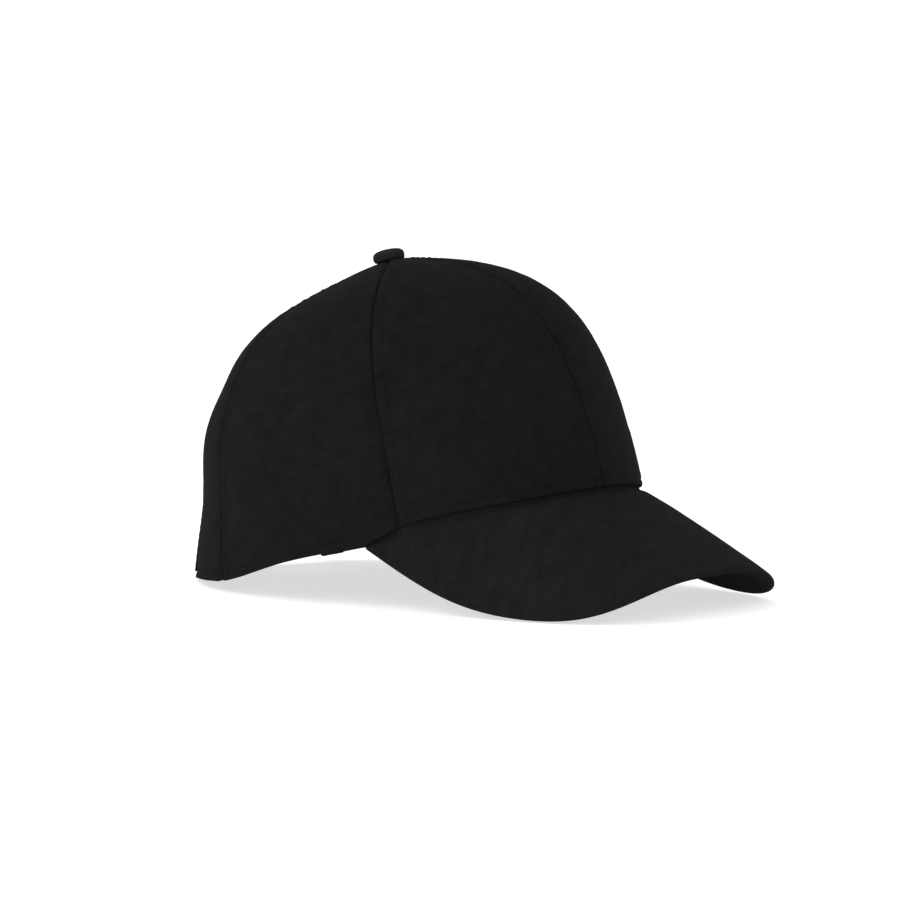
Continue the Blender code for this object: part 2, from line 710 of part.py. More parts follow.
start_empty()
parts = new_collection("baseball_cap")
guides = new_collection("guides")
CLOSURE_FRAME = closure_frame()
CLOSURE_LEAN, CLOSURE_FOOT_RADIUS = closure_cone()

panels = crown_panels()
rear_cutter = opening_cutter()
cut(panels["rear_panel_left"], rear_cutter)
cut(panels["rear_panel_right"], rear_cutter)
front_backing("left", 1)
front_backing("right", -1)
for crown_seam in SEAMS:
    seam_tape(crown_seam)
sweatband()
brim()
button()
opening_binding()
strap()
buckle_frame()
buckle_pin()
buckle_lever()
buckle_loop()

cap_frame = bpy.data.objects.new("cap_frame", None)
parts.objects.link(cap_frame)
stand_on_ground(cap_frame)
for member in [*parts.objects, *guides.objects]:
    if member is not cap_frame:
        member.parent = cap_frame
bpy.context.view_layer.update()
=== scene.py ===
"""The looks of a black six-panel baseball cap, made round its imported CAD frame.

Shapes are worked out in the cap's own frame, in metres: +X is the wearer's left, -Y is forward and +Z is
up, with the origin in the middle of the head opening. Angles run round the head from the front, positive to
the wearer's left. The crown's and the brim's formulas are the same as in the CAD source, apart from the soft
settling of the rear hem. TO_GROUND stands the result on Z = 0.
"""

import math

import bmesh
import bpy
import numpy as np
from mathutils import Matrix, Vector


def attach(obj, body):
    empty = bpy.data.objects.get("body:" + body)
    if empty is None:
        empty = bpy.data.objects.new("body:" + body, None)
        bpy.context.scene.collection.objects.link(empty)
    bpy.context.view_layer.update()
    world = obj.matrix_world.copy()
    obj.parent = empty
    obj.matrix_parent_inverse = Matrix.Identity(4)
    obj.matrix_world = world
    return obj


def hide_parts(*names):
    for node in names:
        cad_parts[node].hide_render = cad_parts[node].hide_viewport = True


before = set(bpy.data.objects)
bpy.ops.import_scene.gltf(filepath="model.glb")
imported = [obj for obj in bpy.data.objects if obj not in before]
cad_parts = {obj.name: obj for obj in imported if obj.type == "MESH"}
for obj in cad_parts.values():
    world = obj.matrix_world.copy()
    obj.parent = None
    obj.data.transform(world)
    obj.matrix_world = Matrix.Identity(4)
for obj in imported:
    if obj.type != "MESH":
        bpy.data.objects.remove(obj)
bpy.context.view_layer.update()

# ---------------- the cap's shape, as in the CAD source

CAP_PITCH = math.radians(7.7812)
CAP_SHIFT = (0, 0.028224, 0.014427)

RIM_HALF_LENGTH = 0.102
RIM_HALF_WIDTH = 0.0851
RIM_FRONT_HEIGHT = 0.0215
RIM_REAR_HEIGHT = -0.0028
RIM_ARCH_POWER = 0.69
CROWN_HEIGHT = 0.1256
APEX_Y = 0.0035
WALL_LEAN = [math.radians(a) for a in (8.3, 1.1, 3.5)]
TOP_SLOPE = [math.radians(a) for a in (-1.2, 8.5, 18.3)]
WALL_FULLNESS = (0.590, 0.630, 0.779)
TOP_FULLNESS = (0.654, 0.876, 0.585)
FLARE = 0.0033
FLARE_HEIGHT = 0.026
FLARE_POWER = 1.3
FLARE_STARTS = math.radians(90)
FLARE_IS_FULL = math.radians(132)
SEAMS = {
    "front": (0, 0),
    "front_left": (61, 4),
    "rear_left": (118, 2),
    "rear": (180, 0),
    "rear_right": (242, -2),
    "front_right": (299, -4),
}
BRIM_LENGTH = 0.0561
BRIM_HALF_WIDTH = 0.0767
BRIM_CORNER = math.radians(70.4)
BRIM_EDGE_POWER = 3.45
BRIM_SLOPE = math.tan(math.radians(34.2))
BRIM_ARCH = 0.0573
BRIM_ARCH_AT = 0.080
BRIM_ARCH_POWER = 2.95
BRIM_ARCH_CHANGE = -0.71
BRIM_TUCK = 0.0010
BRIM_JOINT_GAP = 0.0004
OPENING_HALF_WIDTH = 0.042
OPENING_HEIGHT = 0.048
CLOSURE_RADIUS = 0.080
POCKET_ANGLE = math.radians(141)
STRAP_ABOVE_RIM = 0.005
STRAP_WIDTH = 0.019
STRAP_THICKNESS = 0.0012
STRAP_DEPTH = 0.0029
STRAP_FIXED_END = -0.065
STRAP_TAIL_END = 0.064
BUTTON_TILT = math.radians(7.8)
BUTTON_LIFT = 0.0005
LEFT_LIFT = 0.0032
LEFT_LIFT_AT, LEFT_LIFT_WIDTH = 138, 20
RIGHT_DROP = 0.0040
RIGHT_DROP_AT, RIGHT_DROP_WIDTH = 245, 17


def mix(a, b, share):
    return a + (b - a) * share


def smooth_share(value, start, end):
    share = np.clip((value - start) / (end - start), 0, 1)
    return share * share * (3 - 2 * share)


def around(values, angle):
    """A value that changes smoothly round the head through its (front, side, rear) values."""
    front, side, rear = values
    mean = (front + rear + 2 * side) / 4
    return mean + (front - rear) / 2 * np.cos(angle) + (front + rear - 2 * side) / 4 * np.cos(2 * angle)


def turn_from_front(angle):
    return np.abs(np.arctan2(np.sin(angle), np.cos(angle)))


def rim_plan(angle):
    return RIM_HALF_WIDTH * np.sin(angle), -RIM_HALF_LENGTH * np.cos(angle)


def brim_surface_height(x, y):
    forward = -y - RIM_HALF_LENGTH
    arch = BRIM_ARCH * (np.abs(x) / BRIM_ARCH_AT) ** BRIM_ARCH_POWER * (1 + BRIM_ARCH_CHANGE * forward)
    return RIM_FRONT_HEIGHT - BRIM_SLOPE * forward - arch


def bell(value, middle, width):
    return np.exp(-(((value - middle) / width) ** 2))


def settling(angle):
    """How far the soft hem has lifted at the left rear, and sunk at the right rear, from the CAD's rim."""
    turn = np.degrees(np.remainder(angle, 2 * np.pi))
    lift = LEFT_LIFT * bell(turn, LEFT_LIFT_AT, LEFT_LIFT_WIDTH)
    return lift - RIGHT_DROP * bell(turn, RIGHT_DROP_AT, RIGHT_DROP_WIDTH)


def rim_height(angle, settled=1):
    """Height of the crown's lower edge: arched over the brim, and falling to the rear behind its corners."""
    corner = rim_plan(BRIM_CORNER)
    corner_height = brim_surface_height(*corner)
    turn = turn_from_front(angle)
    rise = np.cos(np.pi / 2 * np.minimum(turn / BRIM_CORNER, 1)) ** RIM_ARCH_POWER
    back = (rim_plan(angle)[1] - corner[1]) / (RIM_HALF_LENGTH - corner[1])
    in_front = mix(corner_height, RIM_FRONT_HEIGHT, rise)
    behind = mix(corner_height, RIM_REAR_HEIGHT, back) + settled * settling(angle)
    return np.where(turn < BRIM_CORNER, in_front, behind)


def crown_surface(angle, share, settled=1):
    """Points on the crown's outer surface, from the rim (share 0) to the apex (share 1)."""
    angle, share = np.broadcast_arrays(np.asarray(angle, float), np.asarray(share, float))
    out_x, out_y = rim_plan(angle)
    out_y = out_y - APEX_Y
    radius = np.hypot(out_x, out_y)
    lean, slope = around(WALL_LEAN, angle), around(TOP_SLOPE, angle)
    foot = rim_height(angle, settled)
    wall, top = around(WALL_FULLNESS, angle) * CROWN_HEIGHT, around(TOP_FULLNESS, angle) * radius
    rest = 1 - share
    a, b, c, d = rest**3, 3 * rest**2 * share, 3 * rest * share**2, share**3
    out = a * radius + b * (radius - wall * np.sin(lean)) + c * top * np.cos(slope)
    height = a * foot + b * (foot + wall * np.cos(lean))
    height = height + c * (CROWN_HEIGHT - top * np.sin(slope)) + d * CROWN_HEIGHT
    near_rim = np.clip(1 - (height - foot) / FLARE_HEIGHT, 0, 1) ** FLARE_POWER
    out = out + FLARE * near_rim * smooth_share(turn_from_front(angle), FLARE_STARTS, FLARE_IS_FULL)
    return np.stack([out * out_x / radius, APEX_Y + out * out_y / radius, height], -1)


def unit(vectors):
    return vectors / np.linalg.norm(vectors, axis=-1, keepdims=True)


def crown_normal(angle, share):
    step = 0.001
    across = crown_surface(angle + step, share) - crown_surface(angle - step, share)
    above, below = np.minimum(share + step, 1), np.maximum(share - step, 0)
    return unit(np.cross(across, crown_surface(angle, above) - crown_surface(angle, below)))


def crown_point(angle, share, depth):
    """Points at a depth below the crown's outer surface."""
    depth = np.asarray(depth, float)[..., None]
    return crown_surface(angle, share) - crown_normal(angle, share) * depth


def bisect(low, high, too_low):
    """The values between low and high where too_low(values) stops being true."""
    for _ in range(26):
        middle = (low + high) / 2
        below = too_low(middle)
        low, high = np.where(below, middle, low), np.where(below, high, middle)
    return (low + high) / 2


def share_at_height(angle, height, settled=1):
    zero = np.zeros(np.broadcast(angle, height).shape)
    return bisect(zero, zero + 1, lambda share: crown_surface(angle, share, settled)[..., 2] < height)


def radius_at(angle, share):
    point = crown_surface(angle, share)
    return np.hypot(point[..., 0], point[..., 1] - APEX_Y)


def share_at_radius(angle, radius):
    zero = np.zeros(np.broadcast(angle, radius).shape)
    return bisect(zero + 0.5, zero + 1, lambda share: radius_at(angle, share) > radius)


# ---------------- the relief of the crown's cloth

SEAM_END_SHARE = 0.975
SEAM_ROLL = 0.0016
SEAM_ROLL_DEPTH = 0.0012
SEAM_VALLEY = 0.00060
SEAM_VALLEY_WIDTH = 0.0026
SEAM_ALLOWANCE_RISE = 0.00035
SEAM_ROW = 0.0046
STITCH_PITCH = 0.0032
STITCH_LENGTH = 0.0024
THREAD_RADIUS = 0.00021
ROW_GROOVE = 0.00060
ROW_GROOVE_WIDTH = 0.00065
RIM_ROW = 0.0030
FRONT_HEM_RISE = 0.0018
HEM_TURN_IN = 0.0007
HEM_TURN_IN_HEIGHT = 0.0026
BAND_HEIGHT, BAND_STEP = 0.024, 0.003
BAND_RISE = 0.00025
FRONT_SOFTNESS, HEM_SOFTNESS = 0.35, 0.3
PUCKER_HEIGHT = 0.00012
PUCKER_LENGTH = 0.0052
PUCKER_WIDTH = 0.006
WAVE_HEIGHT, WAVE_SIZE = 0.00070, 0.060
DENT_HEIGHT, DENT_SIZE = 0.00022, 0.022
CREASE_HEIGHT, CREASE_SIZE = 0.00005, 0.006


def seam_angle(seam, share):
    degrees, bow = SEAMS[seam]
    return np.radians(degrees + bow * np.sin(np.pi * np.minimum(share / SEAM_END_SHARE, 1)))


def ripple(points, size, seed):
    """Smooth bumps of about a size, from -1 to 1: plane waves in seeded directions, added up."""
    chance = np.random.default_rng(seed)
    waves = 10
    directions = unit(chance.normal(size=(waves, 3))) * (2 * np.pi / size)
    directions = directions * chance.uniform(0.7, 1.3, (waves, 1))
    return np.sin(points @ directions.T + chance.uniform(0, 6.28, waves)).sum(-1) / waves**0.5 / 1.6


def lengths_along(points):
    """Distance along a line of points from its first one."""
    steps = np.linalg.norm(np.diff(points, axis=0), axis=-1)
    return np.concatenate([[0], np.cumsum(steps)])


SHARES = np.linspace(0, 1, 300)
SEAM_LENGTHS = {name: lengths_along(crown_surface(seam_angle(name, SHARES), SHARES)) for name in SEAMS}


def nearest_seam(angle, share):
    """Distance round the head to the nearest seam, and the place along that seam."""
    radius = radius_at(angle, share)
    nearest, along = np.full(radius.shape, 1.0), np.zeros(radius.shape)
    for name in SEAMS:
        away = np.abs(np.remainder(angle - seam_angle(name, share) + np.pi, 2 * np.pi) - np.pi) * radius
        along = np.where(away < nearest, np.interp(share, SHARES, SEAM_LENGTHS[name]), along)
        nearest = np.minimum(away, nearest)
    return nearest, along


def groove(distance, width=ROW_GROOVE_WIDTH):
    return bell(distance, 0, width)


def over_brim(angle):
    """1 over the brim, fading to 0 just before its corners."""
    return 1 - smooth_share(turn_from_front(angle), BRIM_CORNER - 0.22, BRIM_CORNER - 0.02)


def hem_rise(angle):
    """Gap from the brim to the front panels' hem, widest at the sides, for the joint's dark line."""
    to_side = smooth_share(turn_from_front(angle), 0.45, 0.95)
    return FRONT_HEM_RISE * over_brim(angle) * mix(0.2, 1.0, to_side)


def fullness(angle, above_rim):
    """Soft bulges that the CAD's even curves leave out: at the rear, high in front and beside the seams."""
    turn = np.degrees(turn_from_front(angle))
    rear = 0.0018 * bell(turn, 140, 24) * bell(above_rim, 0.061, 0.015)
    rear_top = 0.0010 * bell(turn, 140, 26) * bell(above_rim, 0.100, 0.016)
    front = 0.0010 * bell(turn, 40, 24) * bell(above_rim, 0.080, 0.030)
    from_seam = turn - SEAMS["front_left"][0] - SEAMS["front_left"][1] * bell(above_rim, 0.07, 0.05)
    low = 1 - smooth_share(above_rim, 0.060, 0.085)
    beside_seam = 0.0007 * bell(from_seam, 4.5, 3.5) - 0.0011 * bell(from_seam, -2.2, 3.2)
    return rear + rear_top + front + beside_seam * low


def crown_relief(angle, share):
    """How far the cloth stands out from the crown's plain surface: seams, rows of stitching and dents."""
    away, along = nearest_seam(angle, share)
    point = crown_surface(angle, share)
    above_rim = point[..., 2] - rim_height(angle)
    above_hem = above_rim - hem_rise(angle)
    from_front = smooth_share(turn_from_front(angle), math.radians(50), math.radians(80))
    softness = mix(FRONT_SOFTNESS, 1.0, from_front)
    softness = softness * mix(HEM_SOFTNESS, 1.0, smooth_share(above_rim, 0.015, 0.045))
    near_apex = smooth_share(radius_at(angle, share), 0.008, 0.030)
    roll = 1 - np.sqrt(1 - np.clip(1 - away / SEAM_ROLL, 0, 1) ** 2)
    drawn = 0.65 + 0.35 * np.cos(2 * np.pi * along / STITCH_PITCH)
    relief = -SEAM_ROLL_DEPTH * roll - SEAM_VALLEY * groove(away, SEAM_VALLEY_WIDTH) * near_apex
    relief += SEAM_ALLOWANCE_RISE * (1 - smooth_share(away, SEAM_ROW - 0.0004, SEAM_ROW + 0.0016))
    relief -= ROW_GROOVE * groove(away - SEAM_ROW) * drawn * near_apex
    relief -= ROW_GROOVE * groove(above_hem - RIM_ROW)
    relief -= HEM_TURN_IN * np.clip(1 - above_hem / HEM_TURN_IN_HEIGHT, 0, 1) ** 2 * over_brim(angle)
    relief += fullness(angle, above_rim)
    relief += BAND_RISE * (1 - smooth_share(above_rim, BAND_HEIGHT, BAND_HEIGHT + BAND_STEP))
    pucker = PUCKER_HEIGHT * groove(away - SEAM_ROW, PUCKER_WIDTH) * near_apex
    relief += pucker * np.sin(2 * np.pi * along / PUCKER_LENGTH + 3 * ripple(point, 0.02, 5))
    dents = WAVE_HEIGHT * ripple(point, WAVE_SIZE, 1) + DENT_HEIGHT * ripple(point, DENT_SIZE, 2)
    relief += softness * near_apex * dents
    return relief + CREASE_HEIGHT * ripple(point, CREASE_SIZE, 3)


# ---------------- making meshes

TO_GROUND = Matrix.Translation(CAP_SHIFT) @ Matrix.Rotation(-CAP_PITCH, 4, "X")
FOLD_STEPS = 5


def grid(first, second):
    """Two values that change along a grid's two directions, each spread over the whole grid."""
    first, second = np.broadcast_arrays(first, second)
    return first.copy(), second.copy()


def moved(points, matrix):
    return points @ np.array(matrix.to_3x3()).T + np.array(matrix.translation)


def add_object(name, data):
    thing = bpy.data.objects.new(name, data)
    bpy.context.scene.collection.objects.link(thing)
    return thing


def add_piece(name, points, faces, material, body, weave=None, replaces=()):
    """A smooth piece from points in the cap's frame. weave holds each point's place on the flat cloth."""
    mesh = bpy.data.meshes.new(name)
    mesh.from_pydata(moved(points.reshape(-1, 3), TO_GROUND).tolist(), [], faces)
    mesh.validate()
    if weave is not None:
        layer = mesh.uv_layers.new(name="weave")
        corners = np.zeros(len(mesh.loops), np.int32)
        mesh.loops.foreach_get("vertex_index", corners)
        layer.data.foreach_set("uv", weave.reshape(-1, 2)[corners].astype(np.float32).ravel())
    shape = bmesh.new()
    shape.from_mesh(mesh)
    bmesh.ops.recalc_face_normals(shape, faces=shape.faces)
    shape.to_mesh(mesh)
    shape.free()
    mesh.polygons.foreach_set("use_smooth", [True] * len(mesh.polygons))
    piece = add_object(name, mesh)
    mesh.materials.append(material)
    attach(piece, body)
    if replaces:
        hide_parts(*replaces)


def add_cloth(name, sheet, material, node, body="cap"):
    """A piece of cloth from a closed sheet, in place of one CAD node."""
    points, faces, weave = sheet
    add_piece(name, points, faces, material, body, weave, [node])


def closed_sheet(outer, inner, weave):
    """A closed sheet from grids of points on its outer and inner faces. Round edges join its end rows.

    Returns its points, faces and weave. The weave that is passed in has the grids' rows and columns.
    """
    fold = FOLD_STEPS

    def folded_edge(row, beside):
        middle, reach = (outer[row] + inner[row]) / 2, (outer[row] - inner[row]) / 2
        half = np.linalg.norm(reach, axis=-1, keepdims=True)
        away = unit(outer[row] - outer[beside]) * half
        turns = np.linspace(0, np.pi, fold + 2)[1:-1]
        flat_away = unit(weave[row] - weave[beside] + 1e-9) * half
        points = [middle + reach * math.cos(t) + away * math.sin(t) for t in turns]
        return np.stack(points), np.stack([weave[row] + flat_away * math.sin(t) for t in turns])

    first, first_weave = folded_edge(0, 1)
    last, last_weave = folded_edge(-1, -2)
    ring = np.concatenate([first[::-1], outer, last, inner[::-1]])
    ring_weave = np.concatenate([first_weave[::-1], weave, last_weave, weave[::-1]])
    rows, columns = ring.shape[:2]
    number = np.arange(rows * columns).reshape(rows, columns)
    below = np.roll(number, -1, axis=0)
    squares = np.stack([number[:, :-1], number[:, 1:], below[:, 1:], below[:, :-1]], -1)
    faces = squares.reshape(-1, 4).tolist()
    outward, inward = number[fold : fold + len(outer)], number[-len(inner) :][::-1]
    for column in (0, -1):
        ends = [outward[:-1, column], outward[1:, column], inward[1:, column], inward[:-1, column]]
        faces += np.stack(ends, -1).tolist()
        past_outer = number[fold + len(outer) :, column][:fold]
        faces.append([*number[:fold, column], outward[0, column], inward[0, column]])
        faces.append([outward[-1, column], *past_outer, inward[-1, column]])
    return ring, faces, ring_weave


def stitches(name, rows, body="cap", radius=THREAD_RADIUS):
    """Every stitch of some rows, as a short thread whose ends dive into the cloth.

    A row is its points and the directions out of the cloth there.
    """
    steps, sides = 7, 6
    share = np.linspace(0, 1, steps)
    turns = np.linspace(0, 2 * np.pi, sides, endpoint=False)
    thickness = radius * np.sqrt(1 - 0.85 * (2 * share - 1) ** 4)
    rise = radius * (1.4 * np.sin(np.pi * share) - 0.95)
    points = []
    for line, normals in rows:
        along = lengths_along(line)
        count = int((along[-1] - STITCH_LENGTH) / STITCH_PITCH) + 1
        spare = along[-1] - (count - 1) * STITCH_PITCH - STITCH_LENGTH
        places = (spare / 2 + np.arange(count) * STITCH_PITCH)[:, None] + share * STITCH_LENGTH
        centre = np.stack([np.interp(places, along, line[:, k]) for k in range(3)], -1)
        normal = unit(np.stack([np.interp(places, along, normals[:, k]) for k in range(3)], -1))
        side = unit(np.cross(normal, centre[:, -1:] - centre[:, :1]))
        centre = centre + normal * rise[:, None]
        ring = side[:, :, None] * np.cos(turns)[:, None]
        ring = ring + normal[:, :, None] * np.sin(turns)[:, None]
        points.append(centre[:, :, None] + ring * thickness[:, None, None])
    points = np.concatenate(points)
    count = len(points)
    number = np.arange(count * steps * sides).reshape(count, steps, sides)
    following = np.roll(number, -1, axis=2)
    tube = np.stack([number[:, :-1], following[:, :-1], following[:, 1:], number[:, 1:]], -1)
    faces = tube.reshape(-1, 4).tolist() + number[:, 0].tolist() + number[:, -1].tolist()
    add_piece(name, points, faces, BLACK_THREAD, body)


# ---------------- materials


class Nodes:
    """A material's node tree, with short ways to add and join its nodes."""

    def __init__(self, name):
        self.material = bpy.data.materials.new(name)
        self.material.use_nodes = True
        self.tree = self.material.node_tree
        self.shader = self.tree.nodes["Principled BSDF"]

    def add(self, kind, settings=(), **values):
        node = self.tree.nodes.new("ShaderNode" + kind)
        for name, value in settings:
            setattr(node, name, value)
        for name, value in values.items():
            self.feed(node.inputs[name.replace("_", " ")], value)
        return node

    def feed(self, socket, value):
        if isinstance(value, bpy.types.NodeSocket):
            self.tree.links.new(value, socket)
        else:
            socket.default_value = value

    def cloth_place(self):
        """Each point's place on the flat cloth."""
        return self.add("UVMap", [("uv_map", "weave")]).outputs[0]

    def object_place(self):
        return self.add("TexCoord").outputs["Object"]

    def math(self, operation, *values):
        node = self.add("Math", [("operation", operation)])
        for socket, value in zip(node.inputs, values):
            self.feed(socket, value)
        return node.outputs[0]

    def plus(self, a, b):
        return self.math("ADD", a, b)

    def times(self, a, b):
        return self.math("MULTIPLY", a, b)

    def noise(self, place, scale, detail=2.0, roughness=0.5):
        node = self.add("TexNoise", Vector=place, Scale=scale, Detail=detail, Roughness=roughness)
        return node.outputs["Fac"]

    def ramp(self, value, low, high):
        node = self.add("MapRange", Value=value)
        for socket, number in zip(node.inputs[3:5], (low, high)):
            socket.default_value = number
        return node.outputs["Result"]

    def tint(self, dark, light, share):
        node = self.add("Mix", [("data_type", "RGBA")])
        for socket, value in ((node.inputs[0], share), (node.inputs[6], dark), (node.inputs[7], light)):
            self.feed(socket, value)
        return node.outputs[2]

    def bump(self, height, strength, depth):
        return self.add("Bump", Strength=strength, Distance=depth, Height=height).outputs[0]

    def finish(self, colour, roughness, **others):
        """Feeds the shader's inputs. Every other input goes by its name, with _ for each space."""
        inputs = {"Base Color": colour, "Roughness": roughness, **others}
        for name, value in inputs.items():
            self.feed(self.shader.inputs[name.replace("_", " ")], value)
        return self.material


def grey(value, blue=1.0):
    return (value, value, value * blue, 1)


def twill(name, dark, light, line=0.0006, turn=1.0):
    """Brushed cotton twill: slanting ribs of fine threads, worn paler on their backs, and a short nap."""
    n = Nodes(name)
    flat = n.cloth_place()
    split = n.add("SeparateXYZ", Vector=flat)
    across, up = split.outputs[0], split.outputs[1]
    wander = n.times(n.noise(flat, 260.0), line * 0.5)
    slant = n.plus(n.times(across, turn), n.times(up, 0.8))
    slant = n.plus(slant, wander)
    ribs = n.math("SINE", n.times(slant, 2 * math.pi / line))
    threads = n.math("SINE", n.times(up, 2 * math.pi / (line * 0.7)))
    weave = n.plus(n.times(ribs, 0.35), n.times(threads, 0.12))
    nap = n.noise(flat, 1500.0, 3.0, 0.65)
    mottle = n.noise(flat, 130.0, 3.0, 0.6)
    wear = n.noise(flat, 22.0, 2.0, 0.5)
    shade = n.plus(n.times(weave, 0.6), 0.5)
    for noise, amount in ((nap, 2.0), (mottle, 1.0), (wear, 0.45)):
        shade = n.plus(shade, n.times(n.math("SUBTRACT", noise, 0.5), amount))
    colour = n.tint(dark, light, n.ramp(shade, 0.0, 1.0))
    relief = n.bump(n.plus(weave, n.times(nap, 0.5)), 0.55, 0.00022)
    finish = {"Sheen_Weight": 0.0025, "Sheen_Roughness": 0.45, "Specular_IOR_Level": 0.02}
    return n.finish(colour, n.ramp(mottle, 0.82, 0.97), Normal=relief, **finish)


def plain_weave(name, dark, light, thread=0.0007, openness=0.0):
    """A plain weave of crossing threads, for tape and buckram."""
    n = Nodes(name)
    flat = n.cloth_place()
    split = n.add("SeparateXYZ", Vector=flat)
    waves = [n.math("SINE", n.times(split.outputs[k], 2 * math.pi / thread)) for k in (0, 1)]
    cloth = n.times(n.plus(waves[0], waves[1]), 0.25)
    mottle = n.noise(flat, 300.0, 3.0, 0.6)
    shade = n.plus(n.times(cloth, 0.6 + openness), mottle)
    colour = n.tint(dark, light, n.ramp(shade, 0.0, 1.0))
    relief = n.bump(n.plus(cloth, n.times(mottle, 0.5)), 0.6, 0.0002)
    return n.finish(colour, n.ramp(mottle, 0.75, 0.95), Normal=relief, Sheen_Weight=0.02)


def thread_material(name, dark, light):
    """Spun thread: short bright and dull lengths with a twist."""
    n = Nodes(name)
    spun = n.noise(n.object_place(), 2600.0, 2.0, 0.6)
    colour = n.tint(dark, light, n.ramp(spun, 0.0, 1.0))
    relief = n.bump(spun, 0.4, 0.0001)
    return n.finish(colour, n.ramp(spun, 0.6, 0.8), Normal=relief, Specular_IOR_Level=0.12)


def metal(name, dark, light, rough):
    """Stamped, satin-plated metal with fine brushing and a few rubbed places."""
    n = Nodes(name)
    place = n.object_place()
    drawn = n.add("Mapping", Vector=place)
    drawn.inputs["Scale"].default_value = (250, 250, 6000)
    brushed = n.noise(drawn.outputs[0], 1.0, 3.0, 0.6)
    rubbed = n.noise(place, 420.0, 2.0, 0.6)
    colour = n.tint(dark, light, n.ramp(rubbed, 0.1, 0.9))
    roughness = n.plus(n.times(brushed, 0.22), rough)
    return n.finish(colour, roughness, Normal=n.bump(brushed, 0.25, 0.00004), Metallic=1.0)


def moulded_plastic(name, dark, light):
    n = Nodes(name)
    grain = n.noise(n.object_place(), 1800.0, 2.0, 0.5)
    relief = n.bump(grain, 0.3, 0.0001)
    return n.finish(n.tint(dark, light, grain), n.ramp(grain, 0.45, 0.6), Normal=relief)


CROWN_TWILL = twill("crown_twill", grey(0.0047, 1.03), grey(0.0129, 1.03))
# The brim's twill is the crown's black cloth painted paler: painted light from above on the brim's top.
BRIM_TWILL = twill("brim_twill", grey(0.0058, 1.03), grey(0.0153, 1.03), turn=-1.0)
# The brim's underside is the same cloth as its top, painted darker: painted shade under the brim.
SHADED_UNDER_BRIM_TWILL = twill("shaded_under_brim_twill", grey(0.0034, 1.03), grey(0.0092, 1.03), turn=-1.0)
# The button's cloth is the crown's twill painted paler: painted light, as if its top faced the lamps.
BUTTON_LIT_TWILL = twill("button_lit_twill", grey(0.0118, 1.03), grey(0.0255, 1.03))
BAND_TWILL = twill("sweatband_twill", grey(0.006, 1.05), grey(0.013, 1.05), line=0.0011)
STRAP_TWILL = twill("strap_twill", grey(0.0040, 1.03), grey(0.0096, 1.03))
TAPE_WEAVE = plain_weave("seam_tape_weave", grey(0.006), grey(0.016))
BUCKRAM = plain_weave("buckram_weave", grey(0.30, 0.93), grey(0.62, 0.95), thread=0.0016, openness=0.8)
BLACK_THREAD = thread_material("black_thread", grey(0.0028), grey(0.0072))
BUCKLE_METAL = metal("antique_nickel", grey(0.09, 1.05), grey(0.20, 1.02), 0.24)
PLAIN_STEEL = metal("plain_steel", grey(0.30, 1.02), grey(0.48, 1.0), 0.3)
BRIM_PLASTIC = moulded_plastic("brim_board_plastic", grey(0.02), grey(0.04))


# ---------------- crown panels

# Places of a panel's columns beside its seams: close together at the turned edge and at the stitching.
EDGE_STEPS = np.array([0, 0.15, 0.35, 0.6, 0.95, 1.5, 2.4, 3.4, 4.0, 4.3, 4.6, 4.9, 5.2, 5.8, 6.8]) * 0.001
PANEL_MIDDLE = 34
PANEL_ROWS = 190
PANEL_TOP_RADIUS = 0.0025
HEM_RADIUS = 0.0006
CLOTH_THICKNESS = 0.0010
CLOTH_LEAST = 0.0004
SEAM_ROW_TOP_RADIUS = 0.0085
SEAM_ROW_ABOVE_OPENING = 0.01


def opening_share(angle):
    """Share up the crown where the arch of the rear opening cuts it, or 0 beside the opening."""

    def inside(share):
        point = crown_surface(angle, share)
        wide = point[..., 0] / OPENING_HALF_WIDTH
        high = (point[..., 2] - RIM_REAR_HEIGHT) / OPENING_HEIGHT
        return (wide**2 + high**2 < 1) & (turn_from_front(angle) > np.pi / 2)

    zero = np.zeros(np.shape(angle))
    return np.where(inside(zero), bisect(zero, zero + 0.6, inside), 0.0)


def opening_end():
    """Angle where the arch of the rear opening meets the rim, on the wearer's left."""
    side, rear = np.array(np.pi / 2), np.array(np.pi)
    return bisect(side, rear, lambda angle: rim_plan(angle)[0] > OPENING_HALF_WIDTH)


def middle_spacing(first, last):
    """Shares across a panel between its edge bands, closer together where the opening's arch is steep."""
    if "rear" not in (first, last):
        return np.linspace(0, 1, PANEL_MIDDLE)[1:-1]
    low, high = math.radians(SEAMS["rear_left"][0]), math.pi
    end = (opening_end() - low) / (high - low)
    beside = np.linspace(0, end, 16)[1:-1]
    arch = 1 - (1 - end) * np.cos(np.linspace(0, np.pi / 2, 46))[:-1]
    spacing = np.concatenate([beside, arch])
    return spacing if last == "rear" else np.sort(1 - spacing)


